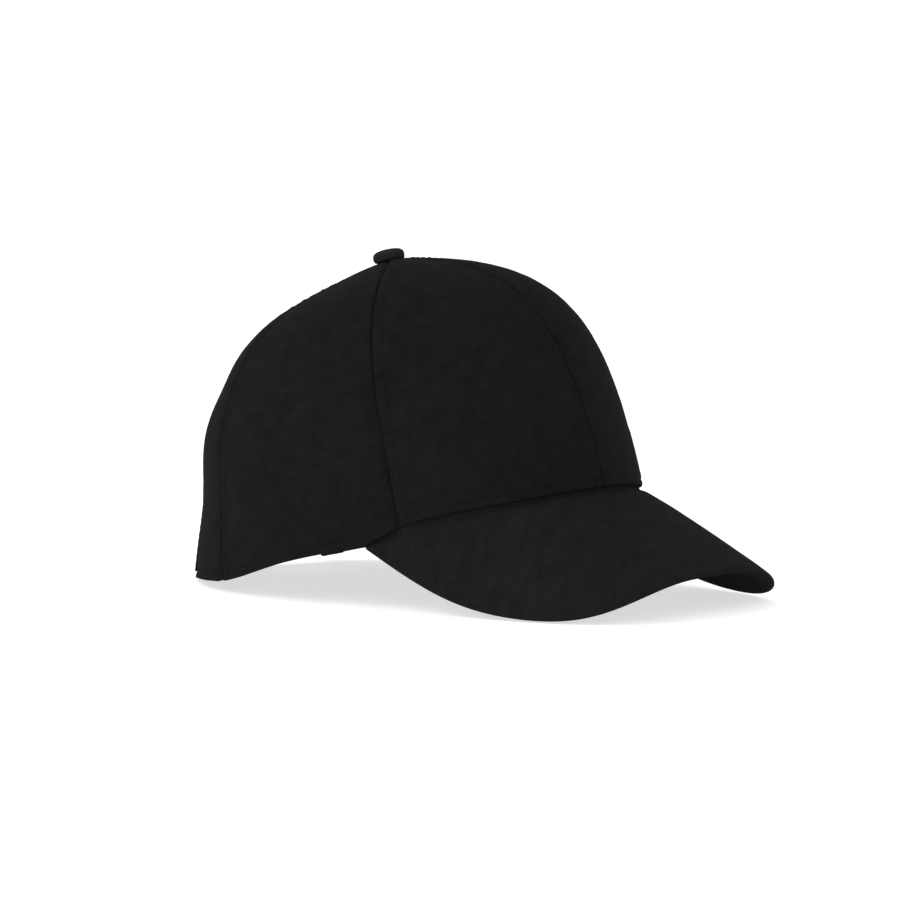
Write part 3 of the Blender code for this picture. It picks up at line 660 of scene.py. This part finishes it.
def panel(name, first, last, node):
    """One panel of cloth between two seams: its hem is rolled, and its edges turn in at the seams."""
    turn = 2 * np.pi if last == "front" else 0
    middle_angle = (seam_angle(first, 0.0) + seam_angle(last, 0.0) + turn) / 2
    table = np.linspace(0, float(share_at_radius(middle_angle, PANEL_TOP_RADIUS)), 300)
    lengths = lengths_along(crown_surface(middle_angle, table))
    up = np.interp(np.linspace(0, lengths[-1], PANEL_ROWS), lengths, table)[:, None]
    spacing = middle_spacing(first, last)

    def lay_out(share):
        """Angles across the panel at some shares up it."""
        a, b = seam_angle(first, share), seam_angle(last, share) + turn
        radius = radius_at((a + b) / 2, share)
        width = (b - a) * radius
        scale = np.minimum(1, width / (2.15 * EDGE_STEPS[-1]))
        near = EDGE_STEPS * scale
        inner = mix(near[..., -1:], width - near[..., -1:], spacing)
        across = np.concatenate([near, inner, (width - near)[..., ::-1]], -1)
        return a + across / radius

    angle = lay_out(up)
    hem = share_at_height(angle[0], rim_height(angle[0]) + HEM_RADIUS + hem_rise(angle[0]))
    foot = np.maximum(hem, opening_share(angle[0]))
    share = np.minimum(foot + (1 - foot) * up, up.max())
    if "rear" in (first, last):
        angle = bent_columns(lay_out, share)
    relief = crown_relief(angle, share)
    outer = crown_point(angle, share, -relief)
    inner = crown_point(angle, share, np.maximum(CLOTH_THICKNESS, CLOTH_LEAST - relief))
    across = (angle - middle_angle) * radius_at(angle, share)
    weave = np.stack([across, np.interp(share, table, lengths)], -1)
    add_cloth(name, closed_sheet(outer, inner, weave), CROWN_TWILL, node)


def bent_columns(lay_out, share):
    """Angles of a grid whose shares differ from column to column along a row."""
    angle = np.zeros(share.shape)
    for column in range(share.shape[1]):
        angle[:, column] = lay_out(share[:, column : column + 1])[:, column]
    return angle


PANELS = ("front_left", "side_left", "rear_left", "rear_right", "side_right", "front_right")
SEAM_NAMES = list(SEAMS)
for name, first, last in zip(PANELS, SEAM_NAMES, SEAM_NAMES[1:] + SEAM_NAMES[:1]):
    place, side = name.split("_")
    panel(f"cloth_{name}", first, last, f"{place}_panel_{side}")


def crown_row(angle, share):
    """A row of stitching on the cloth of the crown: its points and the directions out of the cloth."""
    return crown_point(angle, share, -crown_relief(angle, share)), crown_normal(angle, share)


def rim_row_share(angle):
    """Share up the crown of the row of stitching that goes round the rim."""
    return share_at_height(angle, rim_height(angle) + hem_rise(angle) + RIM_ROW)


def seam_rows():
    """The two rows of stitching beside each seam, from the rim to the button."""
    rows = []
    for seam in SEAMS:
        foot, top = seam_angle(seam, 0.0), seam_angle(seam, 1.0)
        low = float(rim_row_share(foot))
        if seam == "rear":
            low = float(opening_share(foot)) + SEAM_ROW_ABOVE_OPENING
        share = np.linspace(low, float(share_at_radius(top, SEAM_ROW_TOP_RADIUS)), 400)
        middle = seam_angle(seam, share)
        for side in (-1, 1):
            rows.append(crown_row(middle + side * SEAM_ROW / radius_at(middle, share), share))
    return rows


RIM_ROW_ANGLES = np.linspace(-1, 1, 900) * float(opening_end())
stitches("stitches_crown_seams", seam_rows())
stitches("stitches_rim", [crown_row(RIM_ROW_ANGLES, rim_row_share(RIM_ROW_ANGLES))])


# ---------------- inside the crown

TAPE_WIDTH = 0.011
TAPE_THICKNESS = 0.0005
TAPE_TOP_RADIUS = 0.015
TAPE_ROW = TAPE_WIDTH / 2 - 0.0014
TAPE_DEPTH_OVER_BACKING, TAPE_DEPTH = 0.0030, 0.0018
TAPE_DOME = 0.00035
TAPE_ROW_GROOVE, TAPE_ROW_WIDTH = 0.00012, 0.0005
TAPE_CREASES = 0.00005
BACKING_DEPTH = 0.0018
BACKING_THICKNESS = 0.0006
BACKING_BUMPS, BACKING_BUMP_SIZE = 0.00006, 0.012
BACKING_EDGES = (math.radians(1.2), math.radians(SEAMS["front_left"][0] - 5))
BACKING_LOW, BACKING_HIGH = 0.05, 0.86
SWEATBAND_END = math.radians(149)
SWEATBAND_LOW = 0.002
SWEATBAND_HIGH = 0.031
SWEATBAND_ROWS = (0.0022, 0.0262)
SWEATBAND_DEPTH, SWEATBAND_DEPTH_AT_STRAP = 0.0040, 0.0054
SWEATBAND_THICKNESS = 0.0012
SWEATBAND_EDGE = 0.0006
SWEATBAND_PLUMPNESS = 0.0006
SWEATBAND_FOLDS, SWEATBAND_FOLD_SIZE = 0.00025, 0.016
SWEATBAND_CREASES, SWEATBAND_CREASE_SIZE = 0.00006, 0.005
INNER_ROW_GROOVE, INNER_ROW_WIDTH = 0.0003, 0.0006
BINDING_WIDTH = 0.007
BINDING_ROW = 0.0056
BINDING_ROW_GROOVE = 0.0002
BINDING_FROM = 0.07
BINDING_ROW_FROM = 0.10
BINDING_SHEET = 0.0005
BINDING_FOLD = 0.0009
BINDING_PLUMPNESS = 0.0004
BINDING_LIFT = 0.0004
BINDING_DEPTH = 0.0013


def lay_on_crown(angle, share, depth, thickness, weave):
    """A closed sheet under the crown's surface, from a grid of angles and shares."""
    inner = crown_point(angle, share, depth + thickness)
    return closed_sheet(crown_point(angle, share, depth), inner, weave)


def inside_row(angle, share, depth):
    return crown_point(angle, share, depth), -crown_normal(angle, share)


def seam_tape(seam):
    """The woven tape over one seam inside the crown, slightly domed. Returns its two rows of stitching."""
    angle = math.radians(SEAMS[seam][0])
    in_front = turn_from_front(angle) < math.pi / 2
    depth = TAPE_DEPTH_OVER_BACKING if in_front else TAPE_DEPTH
    foot = rim_height(angle) + SWEATBAND_HIGH - TAPE_WIDTH / 2
    if seam == "rear":
        foot = RIM_REAR_HEIGHT + OPENING_HEIGHT + BINDING_WIDTH + 0.0003
    low, high = share_at_height(angle, foot), share_at_radius(angle, TAPE_TOP_RADIUS)
    share = np.linspace(float(low), float(high), 150)
    middle = seam_angle(seam, share)
    radius = radius_at(middle, share)
    lengths = np.interp(share, SHARES, SEAM_LENGTHS[seam])
    up, across = grid(lengths, (np.linspace(-0.5, 0.5, 29) * TAPE_WIDTH)[:, None])
    weave = np.stack([across, up], -1)
    thickness = TAPE_THICKNESS + TAPE_DOME * (1 - (2 * across / TAPE_WIDTH) ** 2)
    thickness -= TAPE_ROW_GROOVE * groove(np.abs(across) - TAPE_ROW, TAPE_ROW_WIDTH)
    thickness += TAPE_CREASES * ripple(np.stack([across, up, 0 * up], -1), CREASE_SIZE, 21)
    sheet = lay_on_crown(middle + across / radius, share, depth, thickness, weave)
    add_cloth(f"tape_{seam}", sheet, TAPE_WEAVE, f"seam_tape_{seam}")
    row_depth = depth + TAPE_THICKNESS + 0.00005
    return [inside_row(middle + side * TAPE_ROW / radius, share, row_depth) for side in (-1, 1)]


def backing(name, first, last, node):
    """The stiff open-weave backing behind one front panel."""
    shares = np.linspace(BACKING_LOW, BACKING_HIGH, 110)
    angle, share = grid(np.linspace(first, last, 60), shares[:, None])
    bumps = BACKING_BUMPS * ripple(crown_surface(angle, share), BACKING_BUMP_SIZE, 31)
    up = np.interp(share, SHARES, SEAM_LENGTHS["front"])
    weave = np.stack([angle * RIM_HALF_LENGTH, up], -1)
    sheet = lay_on_crown(angle, share, BACKING_DEPTH, BACKING_THICKNESS + bumps, weave)
    add_cloth(name, sheet, BUCKRAM, node)


def sweatband_depth(angle):
    """Depth of the sweatband's outer face, which leaves room for the strap's ends at the rear."""
    at_strap = smooth_share(turn_from_front(angle), math.radians(105), math.radians(126))
    return mix(SWEATBAND_DEPTH, SWEATBAND_DEPTH_AT_STRAP, at_strap)


def sweatband():
    """The band inside the rim, plump between its two rows of stitching."""
    heights = np.linspace(SWEATBAND_LOW + SWEATBAND_EDGE, SWEATBAND_HIGH - SWEATBAND_EDGE, 34)
    angle, up = grid(np.linspace(-SWEATBAND_END, SWEATBAND_END, 420), heights[:, None])
    share = share_at_height(angle, rim_height(angle) + up)
    point = crown_surface(angle, share)
    low_row, high_row = SWEATBAND_ROWS
    between_rows = np.clip((up - low_row) / (high_row - low_row), 0, 1)
    thickness = SWEATBAND_THICKNESS + SWEATBAND_PLUMPNESS * np.sin(np.pi * between_rows)
    thickness += SWEATBAND_FOLDS * ripple(point * [1, 1, 0.4], SWEATBAND_FOLD_SIZE, 41)
    thickness += SWEATBAND_CREASES * ripple(point, SWEATBAND_CREASE_SIZE, 42)
    for row in SWEATBAND_ROWS:
        thickness -= INNER_ROW_GROOVE * groove(up - row, INNER_ROW_WIDTH)
    weave = np.stack([angle * RIM_HALF_LENGTH, up], -1)
    sheet = lay_on_crown(angle, share, sweatband_depth(angle), thickness, weave)
    add_cloth("band_cloth", sheet, BAND_TWILL, "sweatband")
    end = SWEATBAND_END - 0.02
    angle = np.linspace(-end, end, 900)
    depth = sweatband_depth(angle) + SWEATBAND_THICKNESS - 0.0001
    shares = [share_at_height(angle, rim_height(angle) + row) for row in SWEATBAND_ROWS]
    stitches("stitches_sweatband", [inside_row(angle, s, depth) for s in shares])


def rear_place(x, above_rim):
    """Angle and share of the places on the rear of the crown at a distance from its middle and a height."""
    height = RIM_REAR_HEIGHT + above_rim
    half = np.full(x.shape, math.pi / 2)
    angle = bisect(half, 3 * half, lambda a: crown_surface(a, share_at_height(a, height))[..., 0] > x)
    return angle, share_at_height(angle, height)


def beside_opening(turn, off):
    """Angle and share of the places at a distance outside the opening's arch, by their turn round it."""
    return rear_place((OPENING_HALF_WIDTH + off) * np.cos(turn), (OPENING_HEIGHT + off) * np.sin(turn))


def cloth_under_binding(angle, share):
    """How far the panels' cloth stands out beside the opening, without its dips."""
    return np.maximum(crown_relief(angle, share), 0.0002)


def binding():
    """The bias tape folded over the arched edge of the opening, with a row of stitches through both legs."""
    turn = np.linspace(BINDING_FROM, math.pi - BINDING_FROM, 150)[None, :]
    leg = np.linspace(0, BINDING_WIDTH, 15)[1:]
    fold = np.concatenate([np.zeros(14), np.linspace(0, 1, 8), np.ones(14)])[:, None]
    off = np.concatenate([leg[::-1], np.zeros(8), leg])[:, None] - BINDING_FOLD * np.sin(np.pi * fold)
    angle, share = beside_opening(turn, off)
    lift = cloth_under_binding(angle, share) + BINDING_LIFT
    lift += BINDING_PLUMPNESS * np.sin(np.pi * np.clip(off / BINDING_WIDTH, 0, 1))
    lift -= BINDING_ROW_GROOVE * groove(off - BINDING_ROW, INNER_ROW_WIDTH)
    depth = mix(-lift, BINDING_DEPTH, (1 - np.cos(np.pi * fold)) / 2)
    weave = np.stack(grid(turn * OPENING_HEIGHT, off * (1 - 2 * fold)), -1)
    line = crown_point(angle, share, depth)
    out = unit(np.cross(np.gradient(line, axis=0), np.gradient(line, axis=1)))
    out *= np.sign((out * crown_normal(angle, share)).sum(-1)[:1, :, None])
    half = out * BINDING_SHEET / 2
    sheet = closed_sheet(line + half, line - half, weave)
    # The binding takes the brim's twill, which is painted paler as painted light from above.
    add_cloth("binding_cloth", sheet, BRIM_TWILL, "opening_binding")
    place = beside_opening(np.linspace(BINDING_ROW_FROM, math.pi - BINDING_ROW_FROM, 300), BINDING_ROW)
    lift = cloth_under_binding(*place) + BINDING_LIFT + 0.0003
    outside = (crown_point(*place, -lift), crown_normal(*place))
    stitches("stitches_binding", [outside, inside_row(*place, BINDING_DEPTH + 0.0003)])


stitches("stitches_tapes", [row for seam in SEAMS for row in seam_tape(seam)])
backing("backing_left", *BACKING_EDGES, "front_backing_left")
backing("backing_right", -BACKING_EDGES[1], -BACKING_EDGES[0], "front_backing_right")
sweatband()
binding()


# ---------------- brim

BRIM_THICKNESS = 0.0032
BRIM_COVER = 0.0006
BRIM_COLUMNS = 170
BRIM_EDGE_ROWS = 8
BRIM_FLAT_ROWS = 44
BRIM_JOINT_DIP = 0.0009
BRIM_JOINT_WIDTH = 0.0020
TURN_UP_HEIGHTS = (0.0006, 0.0014, 0.0026, 0.0040)
TURN_UP_DEPTH = 0.0019
BRIM_THIN_FROM = 0.86
BRIM_CORNER_THINNESS = 0.22
BRIM_CLOTH_REACH = 0.995
BRIM_END_GAP = 0.0003
BRIM_DENTS, BRIM_DENT_SIZE = 0.00022, 0.05
BRIM_BUMPS, BRIM_BUMP_SIZE = 0.00005, 0.012


def brim_edge_plan(side):
    """The brim's outer edge seen from above, from one corner (side -1) to the other (side 1)."""
    corner = rim_plan(BRIM_CORNER)
    bend = 2 / BRIM_EDGE_POWER
    turn = np.pi / 2 * (1 - (1 - np.abs(side)) ** (1 / bend))
    half_width = mix(BRIM_HALF_WIDTH, corner[0], np.sin(turn) ** 16)
    forward = mix(corner[1], -RIM_HALF_LENGTH - BRIM_LENGTH, np.abs(np.cos(turn)) ** bend)
    return np.stack([np.sign(side) * half_width * np.sin(turn) ** bend, forward], -1)


def brim_joint_plan(side):
    joint = np.stack(rim_plan(BRIM_CORNER * side), -1)
    return joint * (1 - BRIM_TUCK / np.linalg.norm(joint, axis=-1, keepdims=True))


def brim_surface(side, out):
    """Points on the brim's top face, from the crown (out 0) to the outer edge (out 1)."""
    joint = brim_joint_plan(side)
    plan = mix(joint, brim_edge_plan(side), out[..., None])
    error = rim_height(BRIM_CORNER * side) - brim_surface_height(joint[..., 0], joint[..., 1])
    height = brim_surface_height(plan[..., 0], plan[..., 1]) + error * (1 - out) ** 2 - BRIM_JOINT_GAP
    return np.concatenate([plan, height[..., None]], -1)


def brim_normal(side, out):
    step = 0.002
    along = brim_surface(np.minimum(side + step, 1), out) - brim_surface(np.maximum(side - step, -1), out)
    outward = brim_surface(side, np.minimum(out + step, 1)) - brim_surface(side, np.maximum(out - step, 0))
    return unit(np.cross(outward, along))


def turn_up(side, layer, depth):
    """Adds the seam allowance: past the joint the cover turns up behind the panels, and closes the gap."""
    angle = BRIM_CORNER * side
    rows = [layer]
    for height in TURN_UP_HEIGHTS:
        share = share_at_height(angle, rim_height(angle) + height)
        rows.append(crown_point(angle, share, TURN_UP_DEPTH + depth))
    return np.concatenate(rows)


def brim_cover(name, node, face):
    """One cloth cover of the brim, on top (face 1) or underneath (face -1). They meet round the edge."""
    spread = math.radians(80)
    side = np.sin(np.linspace(-spread, spread, BRIM_COLUMNS))[None, :] / math.sin(spread) * BRIM_CLOTH_REACH
    outward = brim_edge_plan(side) - brim_joint_plan(side)
    length = np.linalg.norm(outward, axis=-1)
    half = BRIM_THICKNESS / 2
    bend = np.linspace(math.asin(0.5 * BRIM_COVER / half), np.pi / 2, BRIM_EDGE_ROWS)[:, None]
    flat = np.linspace(0, 1, BRIM_FLAT_ROWS)[1:, None]
    thin = mix(1.0, BRIM_CORNER_THINNESS, smooth_share(np.abs(side), BRIM_THIN_FROM, 1.0))
    narrow = np.minimum(1, length / (4 * half))

    def layer(radius):
        inward = (half - radius * np.cos(bend)) * narrow
        inward = np.concatenate([inward, mix(inward[-1:], length - BRIM_END_GAP, flat)])
        across, out = grid(side, 1 - inward / length)
        rise = radius * np.concatenate([np.sin(bend), np.ones(flat.shape)])
        from_joint = np.maximum(length - inward, 0)
        place = brim_surface(across, out)
        dents = BRIM_DENTS * ripple(place, BRIM_DENT_SIZE, 7)
        dents += BRIM_BUMPS * ripple(place, BRIM_BUMP_SIZE, 8 + face)
        rise = rise + dents * np.minimum(1, from_joint / 0.01) * np.clip((inward - half) / 0.004, 0, 1)
        rise = rise - BRIM_JOINT_DIP * groove(from_joint, BRIM_JOINT_WIDTH) * (face > 0)
        return place + brim_normal(across, out) * ((face * rise - half) * thin)[..., None]

    outer, inner = layer(half), layer(half - BRIM_COVER)
    if face > 0:
        outer, inner = turn_up(side, outer, 0), turn_up(side, inner, BRIM_COVER)
    flat_cloth = outer[..., :2].copy()
    round_edge = half * (np.pi / 2 - bend - np.cos(bend))
    flat_cloth[:BRIM_EDGE_ROWS] += unit(outward) * round_edge[..., None]
    weave = np.stack([flat_cloth[..., 0], -flat_cloth[..., 1] * 1.2], -1)
    if face > 0:
        weave[-len(TURN_UP_HEIGHTS) :, :, 1] -= 2 * np.array(TURN_UP_HEIGHTS)[:, None]
    # The top takes the paler brim twill, as painted light from above; the underside takes the darker one, as
    # painted shade.
    material = BRIM_TWILL if face > 0 else SHADED_UNDER_BRIM_TWILL
    add_cloth(name, closed_sheet(outer, inner, weave), material, node)


brim_cover("cloth_brim_top", "brim_top_cover", 1)
brim_cover("cloth_brim_under", "brim_under_cover", -1)


# ---------------- button

BUTTON_RADIUS = 0.0068
BUTTON_HEIGHT = 0.0046
BUTTON_GATHERS = 15
BUTTON_GATHER_DEPTH = 0.022
BUTTON_CLOTH_LENGTH = 0.013
# The button's profile, from the middle of its top to the middle of its underside.
BUTTON_STEPS = (0, 0.16, 0.30, 0.42, 0.52, 0.62, 0.72, 0.84, 1)
BUTTON_RADII = (0, 0.43, 0.77, 0.95, 1.0, 0.985, 0.92, 0.55, 0)
BUTTON_HEIGHTS = (1.0, 0.96, 0.85, 0.66, 0.42, 0.14, -0.12, -0.26, -0.22)


def softened(values, fine):
    """A value of the button's profile at fine steps along it, with its corners rounded off."""
    padded = np.pad(np.interp(fine, BUTTON_STEPS, values), 8, "edge")
    return np.convolve(padded, np.ones(17) / 17, "valid")


def button():
    """The covered button: a domed top, a rounded side and gathered cloth that curls in under it."""
    shape = bmesh.new()
    bmesh.ops.create_uvsphere(shape, u_segments=90, v_segments=48, radius=1)
    ball = np.array([vertex.co for vertex in shape.verts])
    faces = [[vertex.index for vertex in face.verts] for face in shape.faces]
    shape.free()
    down = np.arccos(np.clip(ball[:, 2], -1, 1)) / np.pi
    turn = np.arctan2(ball[:, 1], ball[:, 0])
    fine = np.linspace(0, 1, 200)
    radii = softened(BUTTON_RADII, fine)
    radii[:9] = np.linspace(0, radii[9], 10)[:9]
    radii[-9:] = np.linspace(radii[-10], 0, 10)[1:]
    folds = np.sin(BUTTON_GATHERS * turn) * smooth_share(down, 0.45, 0.65)
    radius = BUTTON_RADIUS * np.interp(down, fine, radii) * (1 + BUTTON_GATHER_DEPTH * folds)
    height = BUTTON_HEIGHT * np.interp(down, fine, softened(BUTTON_HEIGHTS, fine)) + BUTTON_LIFT
    points = np.stack([radius * np.cos(turn), radius * np.sin(turn), height], -1)
    place = Matrix.Translation((0, APEX_Y, CROWN_HEIGHT)) @ Matrix.Rotation(-BUTTON_TILT, 4, "X")
    points = moved(points, place)
    weave = np.stack([down * np.cos(turn), down * np.sin(turn)], -1) * BUTTON_CLOTH_LENGTH
    # The button's cloth is painted paler than the crown's, as painted light.
    add_piece("button_cloth", points, faces, BUTTON_LIT_TWILL, "cap", weave, ["button_shell"])


button()


# ---------------- strap and its loop

STRAP_ROW = 0.0022
LOOP_BAR_ALONG = 0.0358
LOOP_BAR_DEPTH = 0.0009
LOOP_RADIUS = 0.0013
LOOP_WIDTH = 0.016
LOOP_THICKNESS = 0.0006
LOOP_END = 0.052
LOOP_SHORT_LEG = 0.0026
LOOP_ROW = 0.002
STRAP_THREAD_RADIUS = 0.00014


def closure_frame():
    """The frame of the strap's arc: its origin is the rear of the rim, with Z square to the rim's plane."""
    rise = rim_height(BRIM_CORNER) - RIM_REAR_HEIGHT
    slope = math.atan2(rise, RIM_HALF_LENGTH - rim_plan(BRIM_CORNER)[1])
    return Matrix.Translation((0, RIM_HALF_LENGTH, RIM_REAR_HEIGHT)) @ Matrix.Rotation(-slope, 4, "X")


def closure_cone():
    """Lean and foot radius of the cone that the crown's wall makes about the strap's axis, at a pocket."""
    to_closure = closure_frame().inverted()
    low = to_closure @ Vector(crown_surface(POCKET_ANGLE, 0, settled=0))
    share = share_at_height(np.array(POCKET_ANGLE), np.array(low.z + STRAP_WIDTH), settled=0)
    high = to_closure @ Vector(crown_surface(POCKET_ANGLE, share, settled=0))
    low_radius, high_radius = (math.hypot(p.x, p.y + CLOSURE_RADIUS) for p in (low, high))
    lean = math.atan2(low_radius - high_radius, high.z - low.z)
    return lean, low_radius - math.tan(lean) * (STRAP_ABOVE_RIM - low.z)


CLOSURE_FRAME = closure_frame()
CLOSURE_LEAN, CLOSURE_FOOT_RADIUS = closure_cone()


def closure_point(along, height, depth):
    """Points by their place along the strap, their height up it and their depth below the crown."""
    turn = along / CLOSURE_RADIUS
    radius = CLOSURE_FOOT_RADIUS - height * math.sin(CLOSURE_LEAN) - depth * math.cos(CLOSURE_LEAN)
    rise = STRAP_ABOVE_RIM + height * math.cos(CLOSURE_LEAN) - depth * math.sin(CLOSURE_LEAN)
    point = np.stack([-radius * np.sin(turn), radius * np.cos(turn) - CLOSURE_RADIUS, rise + 0 * turn], -1)
    return moved(point, CLOSURE_FRAME)


def webbing(name, path, low, high, thickness, body, node, rows):
    """A band of cloth with round edges and rows of stitches, along a path of (along, depth) points."""
    slope = unit(np.gradient(path, axis=0))
    facing = np.stack([-slope[:, 1], slope[:, 0]], -1)
    facing = facing * np.where(facing[len(facing) // 2, 1] > 0, -1, 1)
    half = thickness / 2
    bend = np.linspace(0.1, np.pi / 2, 7)
    edge = half * (1 - np.cos(bend))
    middle = np.linspace(low + half, high - half, 26)[1:-1]
    height = np.concatenate([low + edge, middle, (high - edge)[::-1]])[None, :]
    puff = np.concatenate([np.sin(bend), np.ones(24), np.sin(bend)[::-1]])[None, :] * half
    for row in rows:
        puff = puff - 0.12 * thickness * groove(height - low - row, INNER_ROW_WIDTH)
    weave = np.stack(grid(lengths_along(path)[:, None], height), -1)
    sides = []
    for sign in (1, -1):
        lifted = path[:, None] + facing[:, None] * (sign * puff)[..., None]
        sides.append(closure_point(lifted[..., 0], height, lifted[..., 1]))
    add_cloth(name, closed_sheet(*sides, weave), STRAP_TWILL, node, body)
    lines = []
    for row in rows:
        for sign in (1, -1):
            levels = [path + facing * sign * off for off in (half * 0.86, 0, 1)]
            line, inside, outside = (closure_point(at[:, 0], low + row, at[:, 1]) for at in levels)
            lines.append((line, unit(outside - inside)))
    stitches(f"stitches_{node}", lines, body, STRAP_THREAD_RADIUS)


def strap():
    along = np.linspace(STRAP_FIXED_END, STRAP_TAIL_END, 240)
    path = np.stack([along, np.full(240, STRAP_DEPTH + STRAP_THICKNESS / 2)], -1)
    rows = (STRAP_ROW, STRAP_WIDTH / 2, STRAP_WIDTH - STRAP_ROW)
    webbing("strap_cloth", path, 0, STRAP_WIDTH, STRAP_THICKNESS, "strap", "strap", rows)


def loop():
    """The tab folded round the buckle's bar, whose long leg is sewn behind the rear panel."""
    bar = np.array([LOOP_BAR_ALONG, LOOP_BAR_DEPTH])
    turns = np.linspace(math.radians(90), math.radians(270), 24)[:, None]
    bend = bar + LOOP_RADIUS * np.concatenate([np.cos(turns), -np.sin(turns)], -1)
    short = [bar + (LOOP_SHORT_LEG * share, -LOOP_RADIUS) for share in (1, 0.66, 0.33)]
    long = [(along, LOOP_BAR_DEPTH + LOOP_RADIUS) for along in np.linspace(LOOP_BAR_ALONG, LOOP_END, 14)[1:]]
    path = np.concatenate([short, bend, long])
    low, high = (STRAP_WIDTH - LOOP_WIDTH) / 2, (STRAP_WIDTH + LOOP_WIDTH) / 2
    rows = (LOOP_ROW, LOOP_WIDTH - LOOP_ROW)
    webbing("loop_cloth", path, low, high, LOOP_THICKNESS, "cap", "buckle_loop", rows)


strap()
loop()


# ---------------- CAD parts that stay in sight


def refinish(node, material, bevel):
    """Gives a CAD part its material, and rounds its edges a little."""
    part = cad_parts[node]
    part.data.materials.clear()
    part.data.materials.append(material)
    rounding = part.modifiers.new("rounded_edges", "BEVEL")
    rounding.width = bevel
    rounding.segments = 3
    rounding.limit_method = "ANGLE"
    rounding.angle_limit = math.radians(40)
    rounding.harden_normals = True


STAMPED_EDGE, TURNED_EDGE, MOULDED_EDGE = 0.00018, 0.00012, 0.0002

for node in ("buckle_frame", "buckle_pin", "buckle_lever"):
    refinish(node, BUCKLE_METAL, STAMPED_EDGE)
for node in ("button_post", "button_washer"):
    refinish(node, PLAIN_STEEL, TURNED_EDGE)
refinish("brim_board", BRIM_PLASTIC, MOULDED_EDGE)


# ---------------- floor, light and camera


FLOOR_RADIUS = 60
FLOOR_GLOW = 0.65
WORLD_STRENGTH = 0.84
LIGHTS_AIM = (0, 0, 0.06)
CAMERA_AZIMUTH = math.radians(-50.630)
CAMERA_ELEVATION = math.radians(6.0286)
CAMERA_ROLL = math.radians(0.368)
CAMERA_DISTANCE = 4.4691
CAMERA_AIM = (-0.00795, 0.00812, 0.06052)
CAMERA_LENS = 420.03
CAMERA_SENSOR = 36
CAMERA_REACH = 200


def floor_material():
    """A pale floor that glows a little, so that it comes out as white as the background."""
    n = Nodes("pale_floor")
    speckle = n.noise(n.object_place(), 60.0, 3.0, 0.5)
    glow = {"Emission_Color": grey(1.0), "Emission_Strength": FLOOR_GLOW}
    return n.finish(n.tint(grey(0.50), grey(0.54), speckle), n.ramp(speckle, 0.75, 0.85), **glow)


def floor():
    shape = bmesh.new()
    bmesh.ops.create_circle(shape, cap_ends=True, segments=96, radius=FLOOR_RADIUS)
    mesh = bpy.data.meshes.new("floor")
    shape.to_mesh(mesh)
    shape.free()
    mesh.materials.append(floor_material())
    thing = add_object("floor", mesh)


def area_light(name, place, size, power):
    light = bpy.data.lights.new(name, "AREA")
    light.shape = "DISK"
    light.size = size
    light.energy = power
    thing = add_object(name, light)
    thing.location = place
    thing.rotation_euler = (Vector(place) - Vector(LIGHTS_AIM)).to_track_quat("Z", "Y").to_euler()


def studio():
    world = bpy.data.worlds.new("studio")
    world.use_nodes = True
    background = world.node_tree.nodes["Background"].inputs
    background["Color"].default_value = grey(1.0)
    background["Strength"].default_value = WORLD_STRENGTH
    scene = bpy.context.scene
    scene.world = world
    scene.view_settings.view_transform = "Standard"
    area_light("key", (-0.9, 0.65, 1.0), 0.9, 7.2)
    area_light("fill", (-1.2, -0.9, 0.7), 1.0, 4.4)


def camera():
    view = bpy.data.cameras.new("camera")
    view.lens = CAMERA_LENS
    view.sensor_width = CAMERA_SENSOR
    view.clip_end = CAMERA_REACH
    thing = add_object("camera", view)
    level = math.cos(CAMERA_ELEVATION)
    sideways, forward = math.sin(CAMERA_AZIMUTH) * level, math.cos(CAMERA_AZIMUTH) * level
    back = Vector((sideways, -forward, math.sin(CAMERA_ELEVATION)))
    thing.location = Vector(CAMERA_AIM) + back * CAMERA_DISTANCE
    facing = back.to_track_quat("Z", "Y").to_matrix()
    thing.rotation_euler = (Matrix.Rotation(CAMERA_ROLL, 3, back) @ facing).to_euler()
    bpy.context.scene.camera = thing


floor()
studio()
camera()
